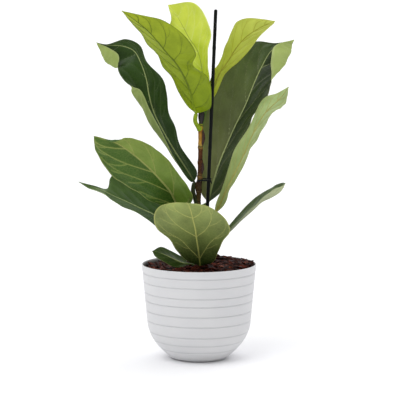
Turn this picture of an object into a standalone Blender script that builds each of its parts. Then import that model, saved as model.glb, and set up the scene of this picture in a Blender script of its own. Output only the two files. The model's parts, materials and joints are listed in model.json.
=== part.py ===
"""A young fiddle leaf fig in a ribbed white pot, as separate solids.

Metres, +Z up. The origin is the centre of the pot's base and the plant's front is -Y. Each leaf is
drawn by guide curves: its midrib and its two margins, given as points in millimetres from the
stalk's end to the tip, with left and right as seen on the leaf's upper side.
"""

import math
import random

import bmesh
import bpy
import numpy as np
from mathutils import Vector

MM = 0.001
GAP = 0.3

# The pot, in millimetres.
RIM_RADIUS = 95.0
POT_HEIGHT = 158.0
TAPER_BOTTOM = 63.0
TAPER_RADIUS = 86.2
FOOT_RADIUS = 44.5
FOOT_CURVE = 2.2
WALL = 2.0
FLOOR_BOTTOM = 0.0
FLOOR_TOP = 4.0
LIP_RADIUS = 0.9
GROOVE_HEIGHTS = (145.0, 130.0, 112.5, 99.0, 82.0, 65.3, 47.2, 32.7, 19.8)
GROOVE_WIDTH = 2.2
GROOVE_DEPTH = 0.6
POT_STEPS = 36

# What stands in it.
SOIL_TOP = 152.0
SOIL_DROP_AT_WALL = 2.0
STEM_RADII = (4.2, 4.2, 4.0, 3.8, 3.8, 3.5, 3.4, 3.2)
STEM_LINE = (
    (0, 0, 100),
    (0, 0, 156),
    (-2, 2, 190),
    (-1.5, 2, 256),
    (1.5, 1, 300),
    (2.3, 0, 346),
    (2.3, 0, 379),
    (3.5, 0, 400),
)
STAKE_RADIUS = 3.0
STAKE_BOTTOM = (7, 2.5, 80)
STAKE_TOP = (27.4, -2, 576)
TIE_HEIGHT = 297.0
TIE_WIRE = 0.7

# The leaves, in millimetres.
BLADE_THICKNESS = 1.3
STALK_THICKNESS = 4.4
SMALL_STALK_THICKNESS = 2.8
STALK_HALF_WIDTH = 2.1
TIP_HALF_WIDTH = 0.9
CUP = 0.06
ROWS_ALONG_STALK = 3
CELLS_ACROSS = 8
LEAVES = {
    "leaf_top_centre": {
        "stalk": [(2.5, 7, 388), (3, 9, 408)],
        "midrib": [(5, 12, 427), (6, 34, 452), (5, 55, 479), (-2, 73, 506), (-15, 84, 525),
                   (-26, 95, 545), (-39, 102, 567), (-52, 106, 583)],
        "left": [(-10, 24, 456), (-30, 41, 482), (-45, 57, 502), (-55, 68, 521),
                 (-55, 81, 540), (-48, 92, 560)],
        "right": [(16, 12, 453), (15, 27, 483), (15, 45, 509), (20, 64, 538), (10, 83, 564),
                  (-11, 98, 587)],
    },
    "leaf_top_left": {
        "stalk": [(-3, -7, 383), (-6, -7.5, 394)],
        "midrib": [(-5, -8, 407), (-10, -22, 427), (-16, -36, 450), (-26, -48, 473),
                   (-38, -59, 493), (-52, -67, 509), (-66, -76, 527), (-82, -85, 545),
                   (-101, -92, 561), (-122, -95, 576)],
        "left": [(19.5, -14.5, 417), (20, -22, 450), (13, -32, 471), (-10, -37, 489),
                 (-5, -51, 507), (-25, -66, 537), (-54, -79, 559), (-84, -88, 568)],
        "right": [(-21, -10, 424), (-36, -8, 449), (-51, -12, 472), (-64, -21, 493),
                  (-78, -31, 514), (-91, -46, 533), (-102, -65, 550), (-112, -84, 563)],
    },
    "leaf_top_right": {
        "stalk": [(8.9, 2.6, 388.5), (9.2, 4.6, 402)],
        "midrib": [(12, 7, 415), (21, 12, 440), (33, 12, 470), (48, 3, 493), (62, -9, 516),
                   (78, -22, 534), (97, -35, 547), (112, -44, 555), (122, -50, 559)],
        "left": [(28, 16, 438), (43, 22, 468), (64, 17, 489), (82, 5, 513), (97, -10, 533),
                 (112, -27, 547), (120, -41, 554)],
        "right": [(13, 18, 443), (23, 24, 474), (36, 19, 495), (46, 9, 524), (59, -6, 553),
                  (76, -27, 563), (102, -42, 562)],
    },
    "leaf_right_large": {
        "stalk": [(3.4, 5.2, 254), (9, 7.8, 255)],
        "midrib": [(15, 9.5, 258), (21, 19, 281), (31, 31, 313), (44, 45, 345), (61, 59, 382),
                   (79, 71, 418), (92, 81, 450), (106, 89, 480), (122, 95, 506), (140, 94, 514),
                   (160, 85, 525)],
        "left": [(3, 20, 278), (2, 33, 324), (2, 47, 363), (7, 61, 404), (22, 75, 446),
                 (42, 87, 483), (68, 95, 511), (98, 100, 522), (130, 97, 519)],
        "right": [(38, 9, 279), (51, 15, 320), (69, 26, 350), (87, 37, 394), (110, 49, 421),
                  (118, 61, 451), (122, 70, 466), (121, 78, 493), (128, 85, 515)],
        "right_belly": [(30, 15, 279), (42, 24, 316), (57, 36, 347), (76, 49, 387),
                        (96, 62, 420), (107, 74, 450), (141, 84, 480), (154, 90, 502),
                        (156, 90, 515)],
    },
    "leaf_right_upper": {
        "stalk": [(2.4, -4, 221), (14, -7, 231)],
        "midrib": [(25.5, -6, 241), (35, -12, 259), (46, -26, 285), (60, -41, 316),
                   (74, -52, 347), (88, -59, 380), (104, -65, 409), (121, -67, 427),
                   (134, -65, 440), (144, -59, 454)],
        "left": [(43, -8, 258), (52, -16, 285), (69, -23, 319), (84, -30, 350),
                 (103, -35, 381), (121, -41, 409), (134, -49, 421), (141, -55, 436)],
        "right": [(28, -8, 260), (38, -15, 286), (49, -24, 321), (59, -26, 351),
                  (76, -29, 382), (92, -35, 412), (108, -43, 434), (126, -53, 443)],
    },
    "leaf_right_lower": {
        "stalk": [(3.4, 6.8, 175), (12, 9, 180)],
        "midrib": [(24, 8, 188), (53, 10, 212), (69, 17, 227), (86, 23, 241), (104, 27, 257),
                   (121, 29, 265), (136, 30, 275), (144, 29, 289)],
        "left": [(53, 22, 222), (70, 42, 239), (89, 54, 256), (107, 58, 269), (124, 54, 280),
                 (137, 42, 288)],
        "right": [(52, -3, 218), (71, -8, 237), (90, -8, 255), (110, -4, 273), (127, 4, 282),
                  (139, 18, 285)],
    },
    "leaf_left_upper": {
        "stalk": [(-8.3, 1, 259), (-9.6, 1, 277)],
        "midrib": [(-8, 1, 293), (-19, 3.5, 311), (-44, 13, 349), (-62, 22, 380), (-75, 31, 406),
                   (-83, 37, 434), (-88, 44, 462), (-98, 48, 490), (-109, 53, 508),
                   (-131, 53, 516), (-154, 44, 517), (-170, 35, 522)],
        "left": [(-17, -6, 300), (-46, -11, 346), (-64, -4, 382), (-82, 5, 415),
                 (-96, 14, 444), (-117, 24, 452), (-133, 28, 474), (-131, 31, 493),
                 (-137, 33, 505), (-150, 36, 513)],
        "left_belly": [(-20, -3, 307), (-56, -1, 353), (-80, 6, 387), (-96, 15, 416),
                       (-112, 23, 440), (-108, 32, 454), (-119, 38, 483), (-138, 43, 481),
                       (-155, 45, 490), (-163, 40, 507)],
        "right": [(-4, 9.5, 312), (-30, 21, 349), (-39, 34, 381), (-51, 45, 408),
                  (-54, 53, 437), (-63, 58, 464), (-86, 56, 488), (-98, 59, 516),
                  (-123, 57, 527), (-150, 46, 518)],
    },
    "leaf_left_middle": {
        "stalk": [(-8.2, 1, 225), (-18, -2, 233)],
        "midrib": [(-31, -6, 243), (-38, -16, 261), (-47, -33, 282), (-62, -50, 302),
                   (-77, -64, 320), (-96, -76, 339), (-115, -86, 355), (-133, -93, 367),
                   (-152, -98, 374), (-167, -98, 378)],
        "left": [(-10, -12, 265), (-18, -23, 289), (-34, -36, 314), (-54, -48, 340),
                 (-74, -62, 356.5), (-95, -76, 369), (-114, -87, 374), (-137, -96, 369)],
        "right": [(-59, -12, 253), (-80, -23, 263), (-100, -36, 281), (-121, -48, 297),
                  (-142, -60, 314), (-157, -74, 335), (-166, -85, 352), (-167, -95, 367)],
    },
    "leaf_left_lower": {
        "stalk": [(-8.2, 2, 204), (-14, 1, 209)],
        "midrib": [(-21, 0, 215), (-44, 5, 226), (-71, 12, 236), (-97, 20, 247),
                   (-121, 25, 258), (-142, 28, 267), (-160, 28, 276), (-180, 25, 283),
                   (-200, 20, 292)],
        "left": [(-54, -13, 217), (-80, -18, 230), (-106, -14, 245), (-131, -9, 256),
                 (-151, 2, 268), (-168, 14, 276), (-183, 20, 281)],
        "right": [(-38, 19, 239), (-65, 38, 259), (-91, 52, 275), (-119, 59, 290),
                  (-145, 56, 299), (-153, 42, 279), (-176, 29, 285)],
    },
    "leaf_front": {
        "stalk": [(0.5, -5, 155.4), (1.5, -9, 155.2)],
        "midrib": [(2, -14, 156), (1, -21, 167), (-1, -35, 185), (-4, -54, 208),
                   (-6, -69, 225), (-10, -84, 244), (-13, -96, 258), (-16, -102, 267),
                   (-19, -105, 272)],
        "left": [(23, -19, 163), (32, -29, 183), (39, -44, 201), (50, -55, 220),
                 (43, -70, 241), (24, -86, 259), (5, -99, 268)],
        "right": [(-19, -23, 166), (-37, -34, 184), (-48, -46, 205), (-68, -55, 224),
                  (-73, -70, 245), (-64, -86, 263), (-43, -98, 271)],
    },
    "leaf_front_small": {
        "stalk": [(-6.8, -3.8, 156.7), (-11, -10, 157.5)],
        "midrib": [(-17, -18, 160), (-28, -25, 163), (-41, -32, 170), (-53, -39, 177),
                   (-65, -45, 183), (-76, -50, 186)],
        "left": [(-29, -34, 157), (-44, -42, 160), (-58, -48, 169), (-71, -50, 177)],
        "right": [(-24, -12, 168), (-36, -16, 176), (-50, -25, 185), (-63, -36, 191)],
    },
}
YOUNG_LEAVES = ("leaf_top_centre", "leaf_top_left", "leaf_top_right")

# The bark chips that lie loose on the soil, in millimetres.
CHIP_COUNT = 20
CHIP_LENGTHS = (9.0, 14.0)
CHIP_THICKNESS = 3.4
CHIP_RINGS = (40.0, 60.0, 78.0)
CHIP_SEED = 11

WHITE_PLASTIC = ((0.66, 0.67, 0.68), 0.45)
BARK = ((0.10, 0.035, 0.018), 0.85)
YOUNG_GREEN = ((0.36, 0.50, 0.03), 0.40)
OLD_GREEN = ((0.055, 0.14, 0.03), 0.35)
WOOD_BROWN = ((0.16, 0.07, 0.025), 0.60)
DARK_COATING = ((0.012, 0.016, 0.015), 0.35)
DRY_BROWN = ((0.12, 0.04, 0.02), 0.70)


def new_collection(name):
    collection = bpy.data.collections.new(name)
    bpy.context.scene.collection.children.link(collection)
    return collection


def material(name, look):
    """A plain material with one colour and one roughness."""
    colour, roughness = look
    made = bpy.data.materials.new(name)
    made.use_nodes = True
    shader = made.node_tree.nodes["Principled BSDF"]
    shader.inputs["Base Color"].default_value = (*colour, 1.0)
    shader.inputs["Roughness"].default_value = roughness
    shader.inputs["Metallic"].default_value = 0.0
    return made


def add_object(name, data, look, collection):
    obj = bpy.data.objects.new(name, data)
    collection.objects.link(obj)
    data.materials.append(material(name, look))
    return obj


def smooth(mesh, angle=35.0):
    mesh.shade_smooth()
    mesh.set_sharp_from_angle(angle=math.radians(angle))


def along(points, t):
    """The point at t, from 0 to 1, on the smooth curve that passes through evenly spaced points."""
    last = len(points) - 1
    place = min(max(t, 0.0), 1.0) * last
    i = min(int(place), last - 1)
    f = place - i
    before, start, end, after = (
        2 * points[0] - points[1] if i == 0 else points[i - 1],
        points[i],
        points[i + 1],
        2 * points[last] - points[last - 1] if i + 2 > last else points[i + 2],
    )
    return 0.5 * (
        2 * start
        + (end - before) * f
        + (2 * before - 5 * start + 4 * end - after) * f**2
        + (3 * start - before - 3 * end + after) * f**3
    )


def unit(vector):
    return vector / max(np.linalg.norm(vector), 1e-9)


# The pot, turned from one profile.


def outer_radius(height):
    """The pot's outside: a straight taper above, and below it a curve that turns in to the foot."""
    if height >= TAPER_BOTTOM:
        share = (height - TAPER_BOTTOM) / (POT_HEIGHT - TAPER_BOTTOM)
        return TAPER_RADIUS + share * (RIM_RADIUS - TAPER_RADIUS)
    drop = (TAPER_BOTTOM - height) / TAPER_BOTTOM
    slope = (RIM_RADIUS - TAPER_RADIUS) / (POT_HEIGHT - TAPER_BOTTOM)
    straight = TAPER_RADIUS - slope * (TAPER_BOTTOM - height)
    turned_in = TAPER_RADIUS - slope * TAPER_BOTTOM - FOOT_RADIUS
    return straight - turned_in * drop**FOOT_CURVE


def pot_profile():
    """Points (radius, height) up the inside, over the lip and down the ribbed outside."""
    inside_heights = [FLOOR_TOP, 10.0, 20.0, 34.0, 50.0, TAPER_BOTTOM, 110.0]
    points = [(0.0, FLOOR_TOP)]
    points += [(outer_radius(z + WALL / 2) - WALL, z) for z in inside_heights]
    points += [
        (RIM_RADIUS - WALL, POT_HEIGHT - LIP_RADIUS),
        (RIM_RADIUS - WALL / 2 - 0.5, POT_HEIGHT),
        (RIM_RADIUS - WALL / 2 + 0.5, POT_HEIGHT),
        (RIM_RADIUS, POT_HEIGHT - LIP_RADIUS),
    ]
    for z in GROOVE_HEIGHTS:
        points.append((outer_radius(z + GROOVE_WIDTH / 2), z + GROOVE_WIDTH / 2))
        points.append((outer_radius(z) - GROOVE_DEPTH, z))
        points.append((outer_radius(z - GROOVE_WIDTH / 2), z - GROOVE_WIDTH / 2))
    points += [(outer_radius(z), z) for z in (11.0, 5.0, 2.0)]
    points += [(FOOT_RADIUS, FLOOR_BOTTOM), (0.0, FLOOR_BOTTOM)]
    return points


def turned(name, profile, look, collection):
    """The solid swept by a profile of (radius, height) points about the Z axis."""
    mesh = bpy.data.meshes.new(name)
    points = [(radius * MM, 0.0, height * MM) for radius, height in profile]
    edges = [(i, i + 1) for i in range(len(points) - 1)]
    mesh.from_pydata(points, edges, [])
    obj = add_object(name, mesh, look, collection)
    screw = obj.modifiers.new("turn", "SCREW")
    screw.angle = math.tau
    screw.steps = POT_STEPS
    screw.render_steps = POT_STEPS
    screw.use_merge_vertices = True
    screw.merge_threshold = 1e-5
    screw.use_smooth_shade = True
    return obj


def soil_profile():
    """The soil from the pot's floor to its slightly domed top, clear of the wall."""
    heights = [FLOOR_TOP + GAP, 10.0, 20.0, 34.0, 50.0, TAPER_BOTTOM, 110.0]
    clear = WALL + 2 * GAP
    edge_height = SOIL_TOP - SOIL_DROP_AT_WALL
    outside = [(outer_radius(z) - clear - (1.2 if z < 20 else 0.4), z) for z in heights]
    outside.append((outer_radius(edge_height) - clear, edge_height))
    top = [(0.0, SOIL_TOP), (30.0, SOIL_TOP), (75.0, SOIL_TOP - SOIL_DROP_AT_WALL / 3)]
    return top + outside[::-1] + [(0.0, FLOOR_TOP + GAP)]


def rod_cutter(name, bottom, top, radius, collection):
    """A hidden cylinder from bottom to top, which makes the hole that a rod stands in."""
    start = Vector(bottom) * MM
    axis = Vector(top) * MM - start
    mesh = bpy.data.meshes.new(name)
    bm = bmesh.new()
    bmesh.ops.create_cone(
        bm,
        cap_ends=True,
        segments=16,
        radius1=radius * MM,
        radius2=radius * MM,
        depth=axis.length,
    )
    bm.to_mesh(mesh)
    bm.free()
    obj = bpy.data.objects.new(name, mesh)
    collection.objects.link(obj)
    obj.location = start + axis / 2
    obj.rotation_mode = "QUATERNION"
    obj.rotation_quaternion = axis.to_track_quat("Z", "Y")
    obj.hide_render = True
    obj.display_type = "WIRE"
    return obj


def cut(obj, cutter):
    boolean = obj.modifiers.new(cutter.name, "BOOLEAN")
    boolean.operation = "DIFFERENCE"
    boolean.solver = "EXACT"
    boolean.object = cutter


# The rods: stem, stake and tie.


def tube(name, points, radii, look, collection, cyclic=False, resolution=3):
    """A round rod along points, with its own radius at each of them."""
    curve = bpy.data.curves.new(name, "CURVE")
    curve.dimensions = "3D"
    curve.bevel_depth = MM
    curve.bevel_resolution = resolution
    curve.use_fill_caps = not cyclic
    spline = curve.splines.new("POLY")
    spline.points.add(len(points) - 1)
    for spline_point, point, radius in zip(spline.points, points, radii):
        spline_point.co = (*(Vector(point) * MM), 1.0)
        spline_point.radius = radius
    spline.use_cyclic_u = cyclic
    spline.use_smooth = True
    return add_object(name, curve, look, collection)


def stem_point(height):
    """The stem's centre at a height, in millimetres."""
    heights = [point[2] for point in STEM_LINE]
    return np.array([np.interp(height, heights, [p[i] for p in STEM_LINE]) for i in range(3)])


def stake_point(height):
    share = (height - STAKE_BOTTOM[2]) / (STAKE_TOP[2] - STAKE_BOTTOM[2])
    return np.array(STAKE_BOTTOM) + share * (np.array(STAKE_TOP) - np.array(STAKE_BOTTOM))


def tie_line():
    """An oval round the stem and the stake, a little clear of both."""
    stem = stem_point(TIE_HEIGHT)
    stake = stake_point(TIE_HEIGHT)
    middle = (stem + stake) / 2
    half_length = np.linalg.norm(stake - stem) / 2 + 3.6 + GAP + TIE_WIRE
    half_width = 5.1 + GAP + TIE_WIRE
    points = []
    for step in range(20):
        angle = math.tau * step / 20
        x = half_length * math.copysign(abs(math.cos(angle)) ** 0.62, math.cos(angle))
        y = half_width * math.copysign(abs(math.sin(angle)) ** 0.62, math.sin(angle))
        points.append(tuple(middle + np.array([x, y, 0.08 * x])))
    return points


# The leaves.


def guides(leaf):
    """A leaf's guide curves as arrays of points, each starting and ending on the midrib."""
    midrib = [np.array(point, float) for point in leaf["midrib"]]
    curves = {"midrib": midrib}
    for name in ("left", "right", "left_belly", "right_belly"):
        if name in leaf:
            inner = [np.array(point, float) for point in leaf[name]]
            curves[name] = [midrib[0], *inner, midrib[-1]]
    return curves


def blade_point(curves, across, t):
    """A point of the blade: across runs from -1 at the left margin to 1 at the right one."""
    side = "left" if across < 0 else "right"
    middle = along(curves["midrib"], t)
    chord = along(curves[side], t) - middle
    least = STALK_HALF_WIDTH + t * (TIP_HALF_WIDTH - STALK_HALF_WIDTH)
    narrow = np.linalg.norm(chord) < least
    if narrow:
        within = min(max(t, 0.04), 0.96)
        chord = least * unit(along(curves[side], within) - along(curves["midrib"], within))
    tangent = unit(along(curves["midrib"], t + 0.01) - along(curves["midrib"], t - 0.01))
    upward = unit(np.cross(chord if side == "right" else -chord, tangent))
    belly = middle + 0.5 * chord - CUP * np.linalg.norm(chord) * upward
    if side + "_belly" in curves and not narrow:
        belly = along(curves[side + "_belly"], t)
    share = abs(across)
    return (
        middle * (1 - share) * (1 - 2 * share)
        + belly * 4 * share * (1 - share)
        + (middle + chord) * share * (2 * share - 1)
    )


def stalk_point(leaf, curves, across, t):
    """A point of the flat strip that carries the stalk from the stem to the blade."""
    line = [np.array(point, float) for point in leaf["stalk"]] + [curves["midrib"][0]]
    base = along(curves["midrib"], 0.0)
    offset = blade_point(curves, across, 0.0) - base
    return along(line, t) + offset


def leaf_mesh(name, leaf):
    """A grid bent onto the blade and its stalk, with the thick rows in a vertex group."""
    curves = guides(leaf)
    rows_along_blade = 2 * len(leaf["midrib"]) - 2
    rows = ROWS_ALONG_STALK + rows_along_blade
    bm = bmesh.new()
    bmesh.ops.create_grid(bm, x_segments=CELLS_ACROSS, y_segments=rows, size=0.5)
    thick = []
    for vertex in bm.verts:
        across = 2 * vertex.co.x
        row = (vertex.co.y + 0.5) * rows - ROWS_ALONG_STALK
        if row < -0.5:
            point = stalk_point(leaf, curves, across, 1 + row / ROWS_ALONG_STALK)
        else:
            point = blade_point(curves, across, 0.995 * row / rows_along_blade)
        vertex.co = Vector(point) * MM
        if row < 0.5:
            thick.append(vertex.index)
    mesh = bpy.data.meshes.new(name)
    bm.to_mesh(mesh)
    bm.free()
    return mesh, thick


def add_leaf(name, leaf, collection):
    mesh, thick = leaf_mesh(name, leaf)
    look = YOUNG_GREEN if name in YOUNG_LEAVES else OLD_GREEN
    obj = add_object(name, mesh, look, collection)
    obj.vertex_groups.new(name="stalk").add(thick, 1.0, "REPLACE")
    shell = obj.modifiers.new("thickness", "SOLIDIFY")
    small = len(leaf["midrib"]) < 7
    stalk_thickness = SMALL_STALK_THICKNESS if small else STALK_THICKNESS
    shell.thickness = stalk_thickness * MM
    shell.offset = 0.0
    shell.vertex_group = "stalk"
    shell.thickness_vertex_group = BLADE_THICKNESS / stalk_thickness
    smooth(mesh)
    return obj


# The small pieces.


def add_ball(name, centre, size, look, collection):
    """A small egg shape, size being its three widths."""
    mesh = bpy.data.meshes.new(name)
    bm = bmesh.new()
    bmesh.ops.create_uvsphere(bm, u_segments=10, v_segments=6, radius=0.5)
    for vertex in bm.verts:
        vertex.co = Vector([(c + v * s) * MM for c, v, s in zip(centre, vertex.co, size)])
    bm.to_mesh(mesh)
    bm.free()
    smooth(mesh)
    return add_object(name, mesh, look, collection)


def chip_places():
    """Where the chips lie: evenly turned round three rings, past the two leaves near the soil."""
    places = []
    for step in range(4 * CHIP_COUNT):
        radius = CHIP_RINGS[step % len(CHIP_RINGS)]
        angle = step * math.tau * 0.3819
        x, y = radius * math.cos(angle), radius * math.sin(angle)
        near_leaves = -100 < x < 30 and y < 0
        crowded = any(math.hypot(x - px, y - py) < 17 for px, py in places)
        if not near_leaves and not crowded:
            places.append((x, y))
    return places[:CHIP_COUNT]


def add_chip(name, place, rng, collection):
    """One bark chip: a flat block with its corners pulled about."""
    length = rng.uniform(*CHIP_LENGTHS)
    size = (length, length * rng.uniform(0.45, 0.6), CHIP_THICKNESS)
    mesh = bpy.data.meshes.new(name)
    bm = bmesh.new()
    bmesh.ops.create_cube(bm, size=1.0)
    for vertex in bm.verts:
        pulled = [value * rng.uniform(0.7, 1.0) for value in vertex.co]
        pulled[2] = min(vertex.co.z, 0.5 * rng.uniform(0.5, 1.0))
        vertex.co = Vector([value * width * MM for value, width in zip(pulled, size)])
    bm.to_mesh(mesh)
    bm.free()
    obj = add_object(name, mesh, BARK, collection)
    height = SOIL_TOP + GAP + CHIP_THICKNESS / 2
    obj.location = (place[0] * MM, place[1] * MM, height * MM)
    obj.rotation_euler = (0.0, 0.0, rng.uniform(0.0, math.tau))
    return obj


def clear_scene():
    for obj in list(bpy.data.objects):
        bpy.data.objects.remove(obj, do_unlink=True)


def build():
    clear_scene()
    parts = new_collection("potted_fiddle_leaf_fig")
    cutters = new_collection("cutters")
    turned("pot", pot_profile(), WHITE_PLASTIC, parts)
    soil = turned("potting_soil", soil_profile(), BARK, parts)
    below_stem = (0, 0, STEM_LINE[0][2] - GAP)
    above = SOIL_TOP + 20
    loose = 1.5 * GAP
    cut(soil, rod_cutter("stem_hole", below_stem, (0, 0, above), STEM_RADII[0] + loose, cutters))
    below_stake = stake_point(STAKE_BOTTOM[2] - GAP)
    above_stake = stake_point(above)
    cut(soil, rod_cutter("stake_hole", below_stake, above_stake, STAKE_RADIUS + loose, cutters))
    tube("stem", STEM_LINE, STEM_RADII, WOOD_BROWN, parts)
    tube("stake", (STAKE_BOTTOM, STAKE_TOP), (STAKE_RADIUS, STAKE_RADIUS), DARK_COATING, parts)
    tie = tie_line()
    tube("tie", tie, [TIE_WIRE] * len(tie), DARK_COATING, parts, cyclic=True, resolution=1)
    for name, leaf in LEAVES.items():
        add_leaf(name, leaf, parts)
    add_ball("terminal_bud", (4, -0.5, 408), (5, 5, 15), DRY_BROWN, parts)
    add_ball("dry_stipule_upper", (9, 0.5, 366), (4.5, 2.5, 28), DRY_BROWN, parts)
    add_ball("dry_stipule_lower", (8.5, 1, 317), (3.5, 2.5, 22), DRY_BROWN, parts)
    rng = random.Random(CHIP_SEED)
    for i, place in enumerate(chip_places(), start=1):
        add_chip(f"bark_chip_{i:02d}", place, rng, parts)


build()
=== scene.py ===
"""The looks of a young fiddle leaf fig in a ribbed white pot.

Metres, +Z up, and the plant's front is -Y. Lengths in the tables are millimetres. The leaves repeat
the guide curves of the solid parts, and every detail of a leaf is laid on the surface that those
curves give: cushions between the veins, waves at the margin, and the raised veins themselves.
"""

import json
import math
import random

import bpy
import numpy as np
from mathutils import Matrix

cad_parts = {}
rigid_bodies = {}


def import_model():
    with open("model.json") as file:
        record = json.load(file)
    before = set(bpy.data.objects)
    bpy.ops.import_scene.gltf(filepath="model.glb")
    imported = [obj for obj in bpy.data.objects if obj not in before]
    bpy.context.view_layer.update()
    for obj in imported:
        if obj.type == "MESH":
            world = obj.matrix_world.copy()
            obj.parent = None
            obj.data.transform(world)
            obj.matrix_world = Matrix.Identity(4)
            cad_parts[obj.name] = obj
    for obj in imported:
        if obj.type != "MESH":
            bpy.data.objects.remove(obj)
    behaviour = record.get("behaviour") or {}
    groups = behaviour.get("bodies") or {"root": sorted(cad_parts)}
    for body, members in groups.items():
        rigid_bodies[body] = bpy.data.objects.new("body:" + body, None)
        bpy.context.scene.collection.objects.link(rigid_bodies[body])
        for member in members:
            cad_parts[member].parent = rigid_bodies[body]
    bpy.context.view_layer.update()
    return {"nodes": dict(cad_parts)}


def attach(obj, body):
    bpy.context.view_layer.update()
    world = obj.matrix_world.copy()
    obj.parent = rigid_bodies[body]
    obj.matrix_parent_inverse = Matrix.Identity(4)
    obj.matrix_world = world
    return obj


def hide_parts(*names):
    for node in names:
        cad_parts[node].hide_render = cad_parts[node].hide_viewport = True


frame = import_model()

MM = 0.001

# The pot, in millimetres: a straight taper down to TAPER_BOTTOM, and below it a curve that turns in
# to a low foot. The outside is drawn in rows that are close enough for the grooves.
RIM_RADIUS = 95.0
POT_HEIGHT = 158.0
TAPER_BOTTOM = 63.0
TAPER_RADIUS = 86.2
FOOT_RADIUS = 44.5
FOOT_CURVE = 2.2
FOOT_HEIGHT = 2.2
WALL = 2.0
FLOOR_TOP = 4.0
POT_SIDES = 180
POT_ROW_HEIGHT = 0.65

# The grooves round the pot, and how deep they cut. Each steps in just above its height and eases
# out over a longer way below it.
GROOVE_HEIGHTS = (145.0, 130.0, 112.5, 99.0, 82.0, 65.3, 47.2, 32.7, 19.8)
GROOVE_CUT = 1.25
GROOVE_ABOVE = 0.9
GROOVE_BELOW = 2.6

# The soil's bed, and the chips of bark on it.
SOIL_TOP = 152.0
SOIL_DEPTH = 14.0
SOIL_RADIUS = 91.6
SOIL_RINGS = 45
SOIL_SIDES = 120
CHIP_SHAPES = 6
CHIP_SPACING = 6.4
CHIP_LENGTH = 17.0
CHIPS_RADIUS = 91.4

# The stem: its centre line with a radius at each point, the heights where a leaf grows or grew, and
# the knob on its right.
STEM_LINE = (
    (0, 0, 100),
    (0, 0, 156),
    (-2, 2, 190),
    (-1.5, 2, 256),
    (1.5, 1, 300),
    (2.3, 0, 346),
    (2.3, 0, 379),
    (3.5, 0, 400),
)
STEM_RADII = (4.2, 4.2, 4.0, 3.8, 3.8, 3.5, 3.4, 3.2)
STEM_NODES = (163.0, 179.0, 196.0, 208.0, 224.0, 243.0, 258.0, 279.0, 302.0, 328.0, 351.0, 384.0)
STEM_BOTTOM = 148.0
STEM_TOP = 401.0
STEM_ROW_HEIGHT = 0.8
STEM_SIDES = 28
KNOB_HEIGHT = 287.0
KNOB_LENGTH = 7.0
KNOB_BULGE = 4.2

# The stake, the knots of the cane inside it, and the tie.
STAKE_BOTTOM = (7, 2.5, 80)
STAKE_TOP = (27.4, -2, 576)
STAKE_RADIUS = 2.85
STAKE_KNOTS = (178.0, 262.0, 351.0, 436.0, 514.0)
TIE_HEIGHT = 297.0
TIE_TURN_RADIUS = 0.85
TIE_END_RADIUS = 0.65

# The dry sheaths on the stem: the piece, the solid part, its bottom and top, how it bulges and how
# wide it is.
SHEATHS = (
    ("sheath_upper", "dry_stipule_upper", (4.6, -0.5, 351), (5.6, 0, 382), (2.8, -0.8, 0), 3.2),
    ("sheath_lower", "dry_stipule_lower", (4.4, 0, 305), (5.2, 0, 329), (1.8, -0.8, 0), 2.6),
)

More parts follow.
